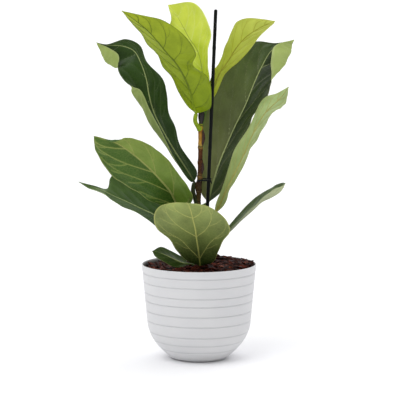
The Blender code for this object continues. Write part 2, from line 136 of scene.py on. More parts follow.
# The leaves, in millimetres: the least half width of a blade at its stalk and at its tip, how deep
# a half blade cups as a share of its width, and each leaf's guide curves.
STALK_HALF_WIDTH = 2.1
TIP_HALF_WIDTH = 0.9
CUP = 0.06
LEAVES = {
    "leaf_top_centre": {
        "stalk": [(2.5, 7, 388), (3, 9, 408)],
        "midrib": [(5, 12, 427), (6, 34, 452), (5, 55, 479), (-2, 73, 506), (-15, 84, 525),
                   (-26, 95, 545), (-39, 102, 567), (-52, 106, 583)],
        "left": [(-10, 24, 456), (-30, 41, 482), (-45, 57, 502), (-55, 68, 521),
                 (-55, 81, 540), (-48, 92, 560)],
        "right": [(16, 12, 453), (15, 27, 483), (15, 45, 509), (20, 64, 538), (10, 83, 564),
                  (-11, 98, 587)],
    },
    "leaf_top_left": {
        "stalk": [(-3, -7, 383), (-6, -7.5, 394)],
        "midrib": [(-5, -8, 407), (-10, -22, 427), (-16, -36, 450), (-26, -48, 473),
                   (-38, -59, 493), (-52, -67, 509), (-66, -76, 527), (-82, -85, 545),
                   (-101, -92, 561), (-122, -95, 576)],
        "left": [(19.5, -14.5, 417), (20, -22, 450), (13, -32, 471), (-10, -37, 489),
                 (-5, -51, 507), (-25, -66, 537), (-54, -79, 559), (-84, -88, 568)],
        "right": [(-21, -10, 424), (-36, -8, 449), (-51, -12, 472), (-64, -21, 493),
                  (-78, -31, 514), (-91, -46, 533), (-102, -65, 550), (-112, -84, 563)],
    },
    "leaf_top_right": {
        "stalk": [(8.9, 2.6, 388.5), (9.2, 4.6, 402)],
        "midrib": [(12, 7, 415), (21, 12, 440), (33, 12, 470), (48, 3, 493), (62, -9, 516),
                   (78, -22, 534), (97, -35, 547), (112, -44, 555), (122, -50, 559)],
        "left": [(28, 16, 438), (43, 22, 468), (64, 17, 489), (82, 5, 513), (97, -10, 533),
                 (112, -27, 547), (120, -41, 554)],
        "right": [(13, 18, 443), (23, 24, 474), (36, 19, 495), (46, 9, 524), (59, -6, 553),
                  (76, -27, 563), (102, -42, 562)],
    },
    "leaf_right_large": {
        "stalk": [(3.4, 5.2, 254), (9, 7.8, 255)],
        "midrib": [(15, 9.5, 258), (21, 19, 281), (31, 31, 313), (44, 45, 345), (61, 59, 382),
                   (79, 71, 418), (92, 81, 450), (106, 89, 480), (122, 95, 506), (140, 94, 514),
                   (160, 85, 525)],
        "left": [(3, 20, 278), (2, 33, 324), (2, 47, 363), (7, 61, 404), (22, 75, 446),
                 (42, 87, 483), (68, 95, 511), (98, 100, 522), (130, 97, 519)],
        "right": [(38, 9, 279), (51, 15, 320), (69, 26, 350), (87, 37, 394), (110, 49, 421),
                  (118, 61, 451), (122, 70, 466), (121, 78, 493), (128, 85, 515)],
        "right_belly": [(30, 15, 279), (42, 24, 316), (57, 36, 347), (76, 49, 387),
                        (96, 62, 420), (107, 74, 450), (141, 84, 480), (154, 90, 502),
                        (156, 90, 515)],
    },
    "leaf_right_upper": {
        "stalk": [(2.4, -4, 221), (14, -7, 231)],
        "midrib": [(25.5, -6, 241), (35, -12, 259), (46, -26, 285), (60, -41, 316),
                   (74, -52, 347), (88, -59, 380), (104, -65, 409), (121, -67, 427),
                   (134, -65, 440), (144, -59, 454)],
        "left": [(43, -8, 258), (52, -16, 285), (69, -23, 319), (84, -30, 350),
                 (103, -35, 381), (121, -41, 409), (134, -49, 421), (141, -55, 436)],
        "right": [(28, -8, 260), (38, -15, 286), (49, -24, 321), (59, -26, 351),
                  (76, -29, 382), (92, -35, 412), (108, -43, 434), (126, -53, 443)],
    },
    "leaf_right_lower": {
        "stalk": [(3.4, 6.8, 175), (12, 9, 180)],
        "midrib": [(24, 8, 188), (53, 10, 212), (69, 17, 227), (86, 23, 241), (104, 27, 257),
                   (121, 29, 265), (136, 30, 275), (144, 29, 289)],
        "left": [(53, 22, 222), (70, 42, 239), (89, 54, 256), (107, 58, 269), (124, 54, 280),
                 (137, 42, 288)],
        "right": [(52, -3, 218), (71, -8, 237), (90, -8, 255), (110, -4, 273), (127, 4, 282),
                  (139, 18, 285)],
    },
    "leaf_left_upper": {
        "stalk": [(-8.3, 1, 259), (-9.6, 1, 277)],
        "midrib": [(-8, 1, 293), (-19, 3.5, 311), (-44, 13, 349), (-62, 22, 380), (-75, 31, 406),
                   (-83, 37, 434), (-88, 44, 462), (-98, 48, 490), (-109, 53, 508),
                   (-131, 53, 516), (-154, 44, 517), (-170, 35, 522)],
        "left": [(-17, -6, 300), (-46, -11, 346), (-64, -4, 382), (-82, 5, 415),
                 (-96, 14, 444), (-117, 24, 452), (-133, 28, 474), (-131, 31, 493),
                 (-137, 33, 505), (-150, 36, 513)],
        "left_belly": [(-20, -3, 307), (-56, -1, 353), (-80, 6, 387), (-96, 15, 416),
                       (-112, 23, 440), (-108, 32, 454), (-119, 38, 483), (-138, 43, 481),
                       (-155, 45, 490), (-163, 40, 507)],
        "right": [(-4, 9.5, 312), (-30, 21, 349), (-39, 34, 381), (-51, 45, 408),
                  (-54, 53, 437), (-63, 58, 464), (-86, 56, 488), (-98, 59, 516),
                  (-123, 57, 527), (-150, 46, 518)],
    },
    "leaf_left_middle": {
        "stalk": [(-8.2, 1, 225), (-18, -2, 233)],
        "midrib": [(-31, -6, 243), (-38, -16, 261), (-47, -33, 282), (-62, -50, 302),
                   (-77, -64, 320), (-96, -76, 339), (-115, -86, 355), (-133, -93, 367),
                   (-152, -98, 374), (-167, -98, 378)],
        "left": [(-10, -12, 265), (-18, -23, 289), (-34, -36, 314), (-54, -48, 340),
                 (-74, -62, 356.5), (-95, -76, 369), (-114, -87, 374), (-137, -96, 369)],
        "right": [(-59, -12, 253), (-80, -23, 263), (-100, -36, 281), (-121, -48, 297),
                  (-142, -60, 314), (-157, -74, 335), (-166, -85, 352), (-167, -95, 367)],
    },
    "leaf_left_lower": {
        "stalk": [(-8.2, 2, 204), (-14, 1, 209)],
        "midrib": [(-21, 0, 215), (-44, 5, 226), (-71, 12, 236), (-97, 20, 247),
                   (-121, 25, 258), (-142, 28, 267), (-160, 28, 276), (-180, 25, 283),
                   (-200, 20, 292)],
        "left": [(-54, -13, 217), (-80, -18, 230), (-106, -14, 245), (-131, -9, 256),
                 (-151, 2, 268), (-168, 14, 276), (-183, 20, 281)],
        "right": [(-38, 19, 239), (-65, 38, 259), (-91, 52, 275), (-119, 59, 290),
                  (-145, 56, 299), (-153, 42, 279), (-176, 29, 285)],
    },
    "leaf_front": {
        "stalk": [(0.5, -5, 155.4), (1.5, -9, 155.2)],
        "midrib": [(2, -14, 156), (1, -21, 167), (-1, -35, 185), (-4, -54, 208),
                   (-6, -69, 225), (-10, -84, 244), (-13, -96, 258), (-16, -102, 267),
                   (-19, -105, 272)],
        "left": [(23, -19, 163), (32, -29, 183), (39, -44, 201), (50, -55, 220),
                 (43, -70, 241), (24, -86, 259), (5, -99, 268)],
        "right": [(-19, -23, 166), (-37, -34, 184), (-48, -46, 205), (-68, -55, 224),
                  (-73, -70, 245), (-64, -86, 263), (-43, -98, 271)],
    },
    "leaf_front_small": {
        "stalk": [(-6.8, -3.8, 156.7), (-11, -10, 157.5)],
        "midrib": [(-17, -18, 160), (-28, -25, 163), (-41, -32, 170), (-53, -39, 177),
                   (-65, -45, 183), (-76, -50, 186)],
        "left": [(-29, -34, 157), (-44, -42, 160), (-58, -48, 169), (-71, -50, 177)],
        "right": [(-24, -12, 168), (-36, -16, 176), (-50, -25, 185), (-63, -36, 191)],
    },
}
YOUNG_LEAVES = ("leaf_top_centre", "leaf_top_left", "leaf_top_right")

# What the looks add to a blade, in millimetres: the rows and columns it is drawn with, its
# thickness, the cushions between its veins, the waves of its margin and the swell of its halves.
LEAF_ROWS = 130
LEAF_COLUMNS = 49
LEAF_THICKNESS = 0.7
CUSHION_HEIGHT = 1.5
CUSHION_REACH = 4.5
WAVE_HEIGHT = 2.4
SWELL_HEIGHT = 1.3

# The side veins' radius on a large leaf, how much of it stands up on the upper side, and the
# stalks' radius, which is larger on three leaves.
SIDE_VEIN_RADIUS = 0.58
UPPER_VEIN_SHARE = 0.2
STALK_STEPS = 17
STALK_RADIUS = 2.4
STALK_RADII = {"leaf_top_left": 3.6, "leaf_left_upper": 3.8, "leaf_right_upper": 2.8}

# Where each leaf's side veins leave its midrib, as shares of its length, and how far they run
# forward. They are given for the left and the right as seen on the upper side.
DEFAULT_VEINS = (0.03, 0.14, 0.27, 0.41, 0.55, 0.69, 0.82)
VEINS = {
    "leaf_top_centre": {"left": DEFAULT_VEINS, "right": DEFAULT_VEINS, "reach": (0.34, 0.36)},
    "leaf_top_left": {"left": (0.05, 0.16, 0.3, 0.46, 0.6, 0.74, 0.86),
                      "right": (0.08, 0.2, 0.36, 0.52, 0.66, 0.8), "reach": (0.24, 0.32)},
    "leaf_top_right": {"left": DEFAULT_VEINS, "right": DEFAULT_VEINS, "reach": (0.3, 0.26)},
    "leaf_right_large": {"left": (0.04, 0.18, 0.33, 0.5, 0.66, 0.8),
                         "right": DEFAULT_VEINS, "reach": (0.46, 0.3)},
    "leaf_right_upper": {"left": DEFAULT_VEINS, "right": DEFAULT_VEINS, "reach": (0.3, 0.3)},
    "leaf_right_lower": {"left": DEFAULT_VEINS, "right": DEFAULT_VEINS, "reach": (0.3, 0.3)},
    "leaf_left_upper": {"left": DEFAULT_VEINS,
                        "right": (0.04, 0.17, 0.33, 0.48, 0.63, 0.78), "reach": (0.3, 0.44)},
    "leaf_left_middle": {"left": (0.03, 0.18, 0.4, 0.6, 0.8),
                         "right": (0.05, 0.2, 0.42, 0.68), "reach": (0.26, 0.5)},
    "leaf_left_lower": {"left": DEFAULT_VEINS, "right": DEFAULT_VEINS, "reach": (0.3, 0.34)},
    "leaf_front": {"left": (0.14, 0.39, 0.63), "right": (0.14, 0.39, 0.63),
                   "reach": (0.46, 0.46)},
    "leaf_front_small": {"left": (0.08, 0.28, 0.5, 0.72), "right": (0.08, 0.28, 0.5, 0.72),
                         "reach": (0.34, 0.34)},
}

# Each leaf's colours: upper side from base to tip, underside from base to tip, and the veins on
# the upper side, the veins on the underside and the stalk. On four leaves one colour is painted
# light, as said above that leaf.
LEAF_COLOURS = {
    "leaf_top_centre": ("#B2C41A", "#DCE850", "#93A62A", "#AFC04A", "#EDF2B4", "#8FA030", "#8DA02B"),
    # leaf_top_left: its dark underside veins are painted shadow.
    "leaf_top_left": ("#8DA628", "#B9C873", "#869C03", "#A3B324", "#D5DC9B", "#55660A", "#8DA51C"),
    "leaf_top_right": ("#9BAE2A", "#B9C65C", "#A6B41A", "#CBD55F", "#D5DC9B", "#A3A32A", "#55702A"),
    # leaf_right_large: its pale grey-brown upper base is a painted sheen that fades towards the tip.
    "leaf_right_large": ("#747A44", "#34501C", "#93A362", "#A9BA68", "#8C8C6C", "#B7C283", "#66793A"),
    "leaf_right_upper": ("#3A5524", "#4C6A30", "#93A45E", "#A6BC7E", "#A8AF7A", "#A5A55C", "#8E8A3C"),
    # leaf_right_lower: its dark underside base is painted shade.
    "leaf_right_lower": ("#3C5022", "#4A6030", "#4F5E34", "#BFC798", "#7C8A5C", "#A3AD76", "#66783A"),
    "leaf_left_upper": ("#1E3808", "#2E4A12", "#76864A", "#9CAD5C", "#76845C", "#A5B272", "#2C3416"),
    "leaf_left_middle": ("#345420", "#41642A", "#6A8A2C", "#8A9C4A", "#9AA86C", "#9CA257", "#87904A"),
    "leaf_left_lower": ("#1D3E0A", "#5C7440", "#7E9252", "#9AAA72", "#5E7444", "#A9B47A", "#52692C"),
    # leaf_front: its dark underside base is painted shade, where the blade curves back in shadow.
    "leaf_front": ("#3A5A24", "#48692E", "#1F3E06", "#A0AE62", "#A9B47A", "#BDBE6C", "#8D9440"),
    "leaf_front_small": ("#2B3F12", "#364D19", "#617A38", "#7F9252", "#7C8A54", "#A3AD6A", "#4A6026"),
}

# Leaf sides with painted shade on one half: the colours that the left and the right half are
# multiplied by, with the right half darker where it lies in shade.
NO_HALF_SHADE = ("#FFFFFF", "#FFFFFF")
HALF_PAINTED_SHADE = {
    ("leaf_left_middle", "underside"): ("#FFFFFF", "#76A04C"),
    ("leaf_right_large", "upper"): ("#FFFFFF", "#688C5C"),
}

# How much the upper side's wax reflects. It is less on the leaves that are dusty or turned away.
UPPER_GLOSS = 0.26
DULL_LEAVES = {"leaf_left_lower": 0.08, "leaf_front_small": 0.15, "leaf_left_upper": 0.2}

# The studio's light: how bright the room is in front, behind and above, and its soft lamps as
# (name, turns in degrees from straight down, strength, softness in degrees).
ROOM_FRONT = 0.2
ROOM_BACK = 0.9
ROOM_TOP = 1.0
SOFT_SUNS = (
    ("left_softbox", (38.0, 0.0, -40.0), 0.9, 45.0),
    ("back_softbox", (-38.0, 0.0, -35.0), 0.6, 75.0),
)
FLOOR_HALF_SIZE = 90000.0

# The camera, in metres: three metres in front of the plant, looking a little down at it.
CAMERA_PLACE = (0.0017, -3.0, 0.62)
CAMERA_PITCH = 83.23
CAMERA_SENSOR = 36.0
CAMERA_LENS = 164.7
CAMERA_REACH = 100.0


# Colours and nodes.


def linear(hex_colour):
    """An sRGB colour such as #A0B1C2 as the linear colour that a shader takes."""
    values = [int(hex_colour[i : i + 2], 16) / 255 for i in (1, 3, 5)]
    return tuple(v / 12.92 if v <= 0.04045 else ((v + 0.055) / 1.055) ** 2.4 for v in values) + (1.0,)


def per_mm(size):
    """The scale of a pattern whose features are about that many millimetres wide."""
    return 1.0 / (size * MM)


def socket(sockets, name):
    """The socket of that identifier or name, or the one at that index."""
    if isinstance(name, int):
        return sockets[name]
    return next(s for s in sockets if name in (s.identifier, s.name))


def add_node(tree, kind, inputs=None, output=0, ramp=None, **settings):
    """Adds a node, fills its inputs with values or other nodes' outputs, and returns one output."""
    node = tree.nodes.new(kind)
    for name, value in settings.items():
        setattr(node, name, value)
    if ramp:
        while len(node.color_ramp.elements) < len(ramp):
            node.color_ramp.elements.new(1.0)
        for stop, (place, hex_colour) in zip(node.color_ramp.elements, ramp):
            stop.position = place
            stop.color = linear(hex_colour)
    for name, value in (inputs or {}).items():
        if isinstance(value, bpy.types.NodeSocket):
            tree.links.new(value, socket(node.inputs, name))
        else:
            socket(node.inputs, name).default_value = value
    return socket(node.outputs, output)


def new_material(name, **uniform):
    """A Principled material, its node tree and its shader, with uniform numbers on the sockets."""
    material = bpy.data.materials.new(name)
    material.use_nodes = True
    tree = material.node_tree
    shader = tree.nodes["Principled BSDF"]
    for socket_name, value in uniform.items():
        shader.inputs[socket_name.replace("_", " ")].default_value = value
    return material, tree, shader


def connect(tree, shader, **outputs):
    """Links nodes' outputs to the shader's sockets of those names."""
    for socket_name, value in outputs.items():
        tree.links.new(value, shader.inputs[socket_name.replace("_", " ")])


def laid_over(tree, under, over, mask, low=0.0, high=1.0, most=1.0, ease="LINEAR"):
    """A colour with another laid over it: none of it where the mask is low, most where it is high."""
    reach = {"Value": mask, "From Min": low, "From Max": high, "To Max": most}
    share = add_node(tree, "ShaderNodeMapRange", reach, interpolation_type=ease)
    colours = {"Factor_Float": share, "A_Color": under, "B_Color": over}
    return add_node(tree, "ShaderNodeMix", colours, "Result_Color", data_type="RGBA")


# Materials.


def leaf_material(name, base, tip, vein, half_shade, roughness, gloss, halo, network):
    """Waxy fig leaf skin: a green that changes from base to tip, pale beside the veins and netted.

    The wax gives a broad, soft shine that is duller in patches. halo is how pale the skin turns
    beside a vein, and network is how clearly the net of the smallest veins shows. The right half
    can be multiplied by a darker colour, which is painted shade. On some leaves the base and vein
    colours carry painted shade, and on one the base carries a painted sheen.
    """
    material, tree, shader = new_material(name, Roughness=roughness, Specular_IOR_Level=gloss)
    place = add_node(tree, "ShaderNodeUVMap", uv_map="leaf")
    wide, fine = (
        add_node(
            tree,
            "ShaderNodeTexNoise",
            {"Vector": place, "Scale": per_mm(size), "Detail": detail, "Roughness": 0.55},
        )
        for size, detail in ((38.0, 2.0), (2.6, 4.0))
    )
    cells = add_node(
        tree,
        "ShaderNodeTexVoronoi",
        {"Vector": place, "Scale": per_mm(5.5), "Randomness": 0.9},
        "Distance",
        feature="DISTANCE_TO_EDGE",
    )
    forward, vein_mm, aside, right_half = (
        add_node(tree, "ShaderNodeAttribute", output="Fac", attribute_name=attribute)
        for attribute in ("forward", "vein_mm", "aside", "right_half")
    )
    green = laid_over(tree, linear(base), linear(tip), forward, 0.1, 0.9)
    deep = add_node(
        tree,
        "ShaderNodeMix",
        {"Factor_Float": 0.38, "A_Color": green, "B_Color": linear(base)},
        "Result_Color",
        data_type="RGBA",
        blend_type="MULTIPLY",
    )
    green = laid_over(tree, green, deep, wide, 0.35, 0.7)
    pale = add_node(
        tree,
        "ShaderNodeMix",
        {"Factor_Float": 0.3, "A_Color": green, "B_Color": linear(vein)},
        "Result_Color",
        data_type="RGBA",
    )
    # Painted shade: one half of some leaf sides is multiplied by a darker colour.
    half_shade_colour = laid_over(tree, linear(half_shade[0]), linear(half_shade[1]), right_half)
    green = add_node(
        tree,
        "ShaderNodeMix",
        {"Factor_Float": 1.0, "A_Color": green, "B_Color": half_shade_colour},
        "Result_Color",
        data_type="RGBA",
        blend_type="MULTIPLY",
    )
    green = laid_over(tree, green, pale, vein_mm, 2.6, 0.3, halo, "SMOOTHSTEP")
    green = laid_over(tree, green, pale, fine, 0.3, 0.75, 0.16)
    green = laid_over(tree, green, linear(vein), cells, 0.09, 0.0, network)
    green = laid_over(tree, green, linear(vein), aside, 0.955, 0.99, 0.6)
    reach = {"From Min": 0.3, "From Max": 0.75, "To Min": roughness - 0.05, "To Max": roughness + 0.06}
    dulled = add_node(tree, "ShaderNodeMapRange", {"Value": wide, **reach})
    plump = add_node(tree, "ShaderNodeMapRange", {"Value": cells, "From Min": 0.0, "From Max": 0.14})
    height = add_node(tree, "ShaderNodeMath", {0: plump, 1: fine}, operation="ADD")
    bump = {"Strength": 0.6, "Distance": 0.12 * MM, "Height": height}
    normal = add_node(tree, "ShaderNodeBump", bump)
    connect(tree, shader, Base_Color=green, Roughness=dulled, Normal=normal)
    return material


def vein_material(name, vein, stalk, roughness):
    """Vein and stalk skin, smooth and fleshy: the vein's colour, turning into the stalk's."""
    material, tree, shader = new_material(name, Roughness=roughness, Specular_IOR_Level=0.22)
    place = add_node(tree, "ShaderNodeTexCoord", output="Object")
    streaks = add_node(
        tree,
        "ShaderNodeTexNoise",
        {"Vector": place, "Scale": per_mm(5.0), "Detail": 3.0, "Roughness": 0.55},
    )
    stalkness = add_node(tree, "ShaderNodeAttribute", output="Fac", attribute_name="stalkness")
    colour = laid_over(tree, linear(vein), linear(stalk), stalkness)
    dark = add_node(
        tree,
        "ShaderNodeMix",
        {"Factor_Float": 0.5, "A_Color": colour, "B_Color": linear(stalk)},
        "Result_Color",
        data_type="RGBA",
        blend_type="MULTIPLY",
    )
    colour = laid_over(tree, colour, dark, streaks, 0.4, 0.75, 0.5)
    bump = {"Strength": 0.5, "Distance": 0.2 * MM, "Height": streaks}
    normal = add_node(tree, "ShaderNodeBump", bump)
    connect(tree, shader, Base_Color=colour, Normal=normal)
    return material


def plastic_material():
    """Injection-moulded polypropylene, matt white, with the faintest clouding and a fine grain.

    Painted shade darkens the grooves, and painted shade turns the wall inside dark brown.
    """
    material, tree, shader = new_material("white_polypropylene", Specular_IOR_Level=0.3)
    place = add_node(tree, "ShaderNodeTexCoord", output="Object")
    clouds, grain = (
        add_node(
            tree,
            "ShaderNodeTexNoise",
            {"Vector": place, "Scale": per_mm(size), "Detail": 2.0, "Roughness": 0.55},
        )
        for size in (60.0, 0.5)
    )
    groove_shade_mask, inside = (
        add_node(tree, "ShaderNodeAttribute", output="Fac", attribute_name=attribute)
        for attribute in ("groove", "inside")
    )
    white = laid_over(tree, linear("#D6D6D7"), linear("#DADADA"), clouds, 0.3, 0.7)
    # Painted shade: the grooves are greyer than the rest of the outside.
    white = laid_over(tree, white, linear("#A9ABAE"), groove_shade_mask, most=0.36)
    # Painted shade: the wall inside is dark brown below the lip.
    inner_wall_shade = laid_over(tree, linear("#1A100C"), linear("#2E1E16"), clouds, 0.35, 0.65)
    white = laid_over(tree, white, inner_wall_shade, inside)
    sheen = add_node(tree, "ShaderNodeMapRange", {"Value": inside, "To Min": 0.3, "To Max": 0.02})
    reach = {"From Min": 0.3, "From Max": 0.7, "To Min": 0.42, "To Max": 0.52}
    rough = add_node(tree, "ShaderNodeMapRange", {"Value": grain, **reach})
    bump = {"Strength": 0.4, "Distance": 0.03 * MM, "Height": grain}
    normal = add_node(tree, "ShaderNodeBump", bump)
    connect(
        tree, shader, Base_Color=white, Specular_IOR_Level=sheen, Roughness=rough, Normal=normal
    )
    return material


def bark_chip_material():
    """Chipped conifer bark, damp: red-brown and dark chips, blotched and flecked with pale wood."""
    material, tree, shader = new_material("bark_chips", Specular_IOR_Level=0.12)
    place = add_node(tree, "ShaderNodeTexCoord", output="Object")
    shade = add_node(tree, "ShaderNodeAttribute", output="Fac", attribute_name="shade")
    patches, specks = (
        add_node(
            tree,
            "ShaderNodeTexNoise",
            {"Vector": place, "Scale": per_mm(size), "Detail": detail, "Roughness": unevenness},
        )
        for size, detail, unevenness in ((3.0, 4.0, 0.65), (0.7, 2.0, 0.55))
    )
    ramp = [
        (0.0, "#1A0704"),
        (0.35, "#340F07"),
        (0.66, "#4E1C0E"),
        (0.88, "#6C2A18"),
        (1.0, "#8C4830"),
    ]
    brown = add_node(tree, "ShaderNodeValToRGB", {"Fac": shade}, "Color", ramp=ramp)
    brown = laid_over(tree, brown, linear("#150503"), patches, 0.38, 0.66)
    brown = laid_over(tree, brown, linear("#8A4C30"), specks, 0.62, 0.75, 0.3)
    reach = {"From Min": 0.3, "From Max": 0.7, "To Min": 0.5, "To Max": 0.85}
    rough = add_node(tree, "ShaderNodeMapRange", {"Value": patches, **reach})
    bump = {"Strength": 0.8, "Distance": 0.6 * MM, "Height": patches}
    normal = add_node(tree, "ShaderNodeBump", bump)
    connect(tree, shader, Base_Color=brown, Roughness=rough, Normal=normal)
    return material


def stem_material():
    """Young fig bark: green at the top, then tan, red-brown and olive-brown, with dark ring scars."""
    material, tree, shader = new_material("fig_stem_bark", Specular_IOR_Level=0.15)
    place = add_node(tree, "ShaderNodeTexCoord", output="Object")
    metres_up = add_node(tree, "ShaderNodeSeparateXYZ", {0: place}, "Z")
    reach = {"From Min": 0.15, "From Max": 0.41}
    height = add_node(tree, "ShaderNodeMapRange", {"Value": metres_up, **reach})
    ramp = [
        (0.0, "#3D3417"),
        (0.34, "#54491F"),
        (0.5, "#4A3A1C"),
        (0.56, "#2A140D"),
        (0.59, "#8A6A35"),
        (0.615, "#44200E"),
        (0.76, "#5C2F12"),
        (0.78, "#B29A4E"),
        (0.80, "#B98C39"),
        (0.88, "#B8812C"),
        (0.92, "#8C962C"),
        (1.0, "#7E9222"),
    ]
    bark = add_node(tree, "ShaderNodeValToRGB", {"Fac": height}, "Color", ramp=ramp)
    patches, specks = (
        add_node(
            tree,
            "ShaderNodeTexNoise",
            {"Vector": place, "Scale": per_mm(size), "Detail": detail, "Roughness": unevenness},
        )
        for size, detail, unevenness in ((7.0, 4.0, 0.6), (1.1, 2.0, 0.55))
    )
    scars = add_node(tree, "ShaderNodeAttribute", output="Fac", attribute_name="scar")
    bark = laid_over(tree, bark, linear("#3A2312"), patches, 0.42, 0.72, 0.55)
    bark = laid_over(tree, bark, linear("#C2A266"), specks, 0.62, 0.72, 0.4)
    bark = laid_over(tree, bark, linear("#21130B"), scars)
    reach = {"From Min": 0.3, "From Max": 0.7, "To Min": 0.35, "To Max": 0.6}
    rough = add_node(tree, "ShaderNodeMapRange", {"Value": patches, **reach})
    bump = {"Strength": 0.6, "Distance": 0.5 * MM, "Height": patches}
    normal = add_node(tree, "ShaderNodeBump", bump)
    connect(tree, shader, Base_Color=bark, Roughness=rough, Normal=normal)
    return material


def coated_material(name, colour, wear_and_groove_shade, roughness):
    """A dark extruded plastic coating, a little worn, so that its dull shine is uneven."""
    material, tree, shader = new_material(name, Specular_IOR_Level=0.14)
    place = add_node(tree, "ShaderNodeTexCoord", output="Object")
    wear = add_node(
        tree,
        "ShaderNodeTexNoise",
        {"Vector": place, "Scale": per_mm(4.0), "Detail": 4.0, "Roughness": 0.6},
    )
    dark = laid_over(tree, linear(colour), linear(wear_and_groove_shade), wear, 0.45, 0.75)
    reach = {"From Min": 0.3, "From Max": 0.7, "To Min": roughness - 0.06, "To Max": roughness + 0.1}
    rough = add_node(tree, "ShaderNodeMapRange", {"Value": wear, **reach})
    bump = {"Strength": 0.5, "Distance": 0.12 * MM, "Height": wear}
    normal = add_node(tree, "ShaderNodeBump", bump)
    connect(tree, shader, Base_Color=dark, Roughness=rough, Normal=normal)
    return material


def papery_material(name, dark, light):
    """A dry bud sheath: thin brown paper with darker fibres along it."""
    material, tree, shader = new_material(name, Roughness=0.5)
    place = add_node(tree, "ShaderNodeTexCoord", output="Object")
    stretch = {"Vector": place, "Scale": (1.0, 1.0, 0.15)}
    stretched = add_node(tree, "ShaderNodeMapping", stretch)
    fibres = add_node(
        tree,
        "ShaderNodeTexNoise",
        {"Vector": stretched, "Scale": per_mm(0.9), "Detail": 4.0, "Roughness": 0.6},
    )
    brown = laid_over(tree, linear(dark), linear(light), fibres, 0.35, 0.68)
    bump = {"Strength": 0.7, "Distance": 0.25 * MM, "Height": fibres}
    normal = add_node(tree, "ShaderNodeBump", bump)
    connect(tree, shader, Base_Color=brown, Normal=normal)
    return material


def floor_material():
    """Seamless white paper for the studio floor, barely clouded."""
    material, tree, shader = new_material("studio_floor", Roughness=0.9, Specular_IOR_Level=0.1)
    place = add_node(tree, "ShaderNodeTexCoord", output="Object")
    clouds = add_node(
        tree,
        "ShaderNodeTexNoise",
        {"Vector": place, "Scale": per_mm(400.0), "Detail": 1.0, "Roughness": 0.55},
    )
    white = laid_over(tree, linear("#F8F8FA"), linear("#FAFAFB"), clouds, 0.3, 0.7)
    connect(tree, shader, Base_Color=white)
    return material


# Meshes.


def new_mesh_object(name, points, faces, materials, slots=None, collection=None):
    """A smooth-shaded mesh from points in millimetres."""
    mesh = bpy.data.meshes.new(name)
    mesh.from_pydata((np.asarray(points, float) * MM).tolist(), [], [tuple(f) for f in faces])
    for material in materials:
        mesh.materials.append(material)
    if slots is not None:
        mesh.polygons.foreach_set("material_index", np.asarray(slots, np.int32))
    mesh.shade_smooth()
    mesh.update()
    obj = bpy.data.objects.new(name, mesh)
    (collection or bpy.context.scene.collection).objects.link(obj)
    return obj


def set_attribute(obj, name, values):
    """Gives each point of a mesh a number that a material or a node tree reads by name."""
    attribute = obj.data.attributes.new(name, "FLOAT", "POINT")
    attribute.data.foreach_set("value", np.asarray(values, np.float32).reshape(-1))


def piece(obj, slot_name, *nodes):
    """Makes obj ride on the one body and stand for the solid parts named. slot_name is not used."""
    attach(obj, "root")
    if nodes:
        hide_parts(*nodes)
    return obj


def grid_faces(rows, columns, start=0, wrap=False):
    """Quads over a grid of points listed row by row, closing each row on itself if wrap is set."""
    faces = []
    for row in range(rows - 1):
        for column in range(columns if wrap else columns - 1):
            after = (column + 1) % columns
            here = start + row * columns
            faces.append((here + column, here + after, here + columns + after, here + columns + column))
    return faces


def lathe(name, profile, sides, materials):
    """The closed solid that a profile of (radius, height), from axis to axis, sweeps about Z."""
    turn = np.linspace(0.0, math.tau, sides, endpoint=False)
    rings = [
        [(radius * math.cos(angle), radius * math.sin(angle), height) for angle in turn]
        for radius, height in profile[1:-1]
    ]
    ends = [(0.0, 0.0, profile[0][1])], [(0.0, 0.0, profile[-1][1])]
    return closed_rings(name, np.array(rings), *ends, materials)


def sweep(name, centres, radii, materials, sides=20):
    """A closed round rod through centres, with a radius at each centre or at each of its sides."""
    radii = radii[:, None] * np.ones(sides) if radii.ndim == 1 else radii
    tangents = unit(np.gradient(centres, axis=0))
    aside = unit(np.cross(tangents, [0.0, 1.0, 0.0]))
    front = np.cross(aside, tangents)
    turn = np.linspace(0.0, math.tau, sides, endpoint=False)
    around = (
        np.cos(turn)[None, :, None] * aside[:, None, :]
        + np.sin(turn)[None, :, None] * front[:, None, :]
    )
    rings = centres[:, None, :] + radii[..., None] * around
    return closed_rings(name, rings, centres[:1], centres[-1:], materials)


def closed_rings(name, rings, start, end, materials):
    """A closed mesh over rings of points, with a fan from the start and the end point."""
    count, sides = rings.shape[:2]
    points = np.concatenate([rings.reshape(-1, 3), start, end])
    faces = [tuple(reversed(face)) for face in grid_faces(count, sides, wrap=True)]
    first, last = count * sides, count * sides + 1
    last_ring = (count - 1) * sides
    for side in range(sides):
        after = (side + 1) % sides
        faces.append((first, side, after))
        faces.append((last, last_ring + after, last_ring + side))
    return facing_out(new_mesh_object(name, points, faces, materials))


def closed_sheet(name, grid, offset, materials):
    """A closed thin sheet on both sides of a grid of points, with a rim between its sides.

    The side that the offset leads to takes the first material, and the rest takes the last.
    """
    rows, columns = grid.shape[:2]
    count = rows * columns
    top = grid_faces(rows, columns)
    under = [tuple(reversed(face)) for face in grid_faces(rows, columns, count)]
    ring = list(range(columns))
    ring += [row * columns + columns - 1 for row in range(1, rows)]
    ring += [(rows - 1) * columns + column for column in range(columns - 2, -1, -1)]
    ring += [row * columns for row in range(rows - 2, 0, -1)]
    rim = [(b, a, count + a, count + b) for a, b in zip(ring, ring[1:] + ring[:1])]
    slots = [0] * len(top) + [len(materials) - 1] * (len(under) + len(rim))
    points = np.concatenate([(grid + offset).reshape(-1, 3), (grid - offset).reshape(-1, 3)])
    return new_mesh_object(name, points, top + under + rim, materials, slots)


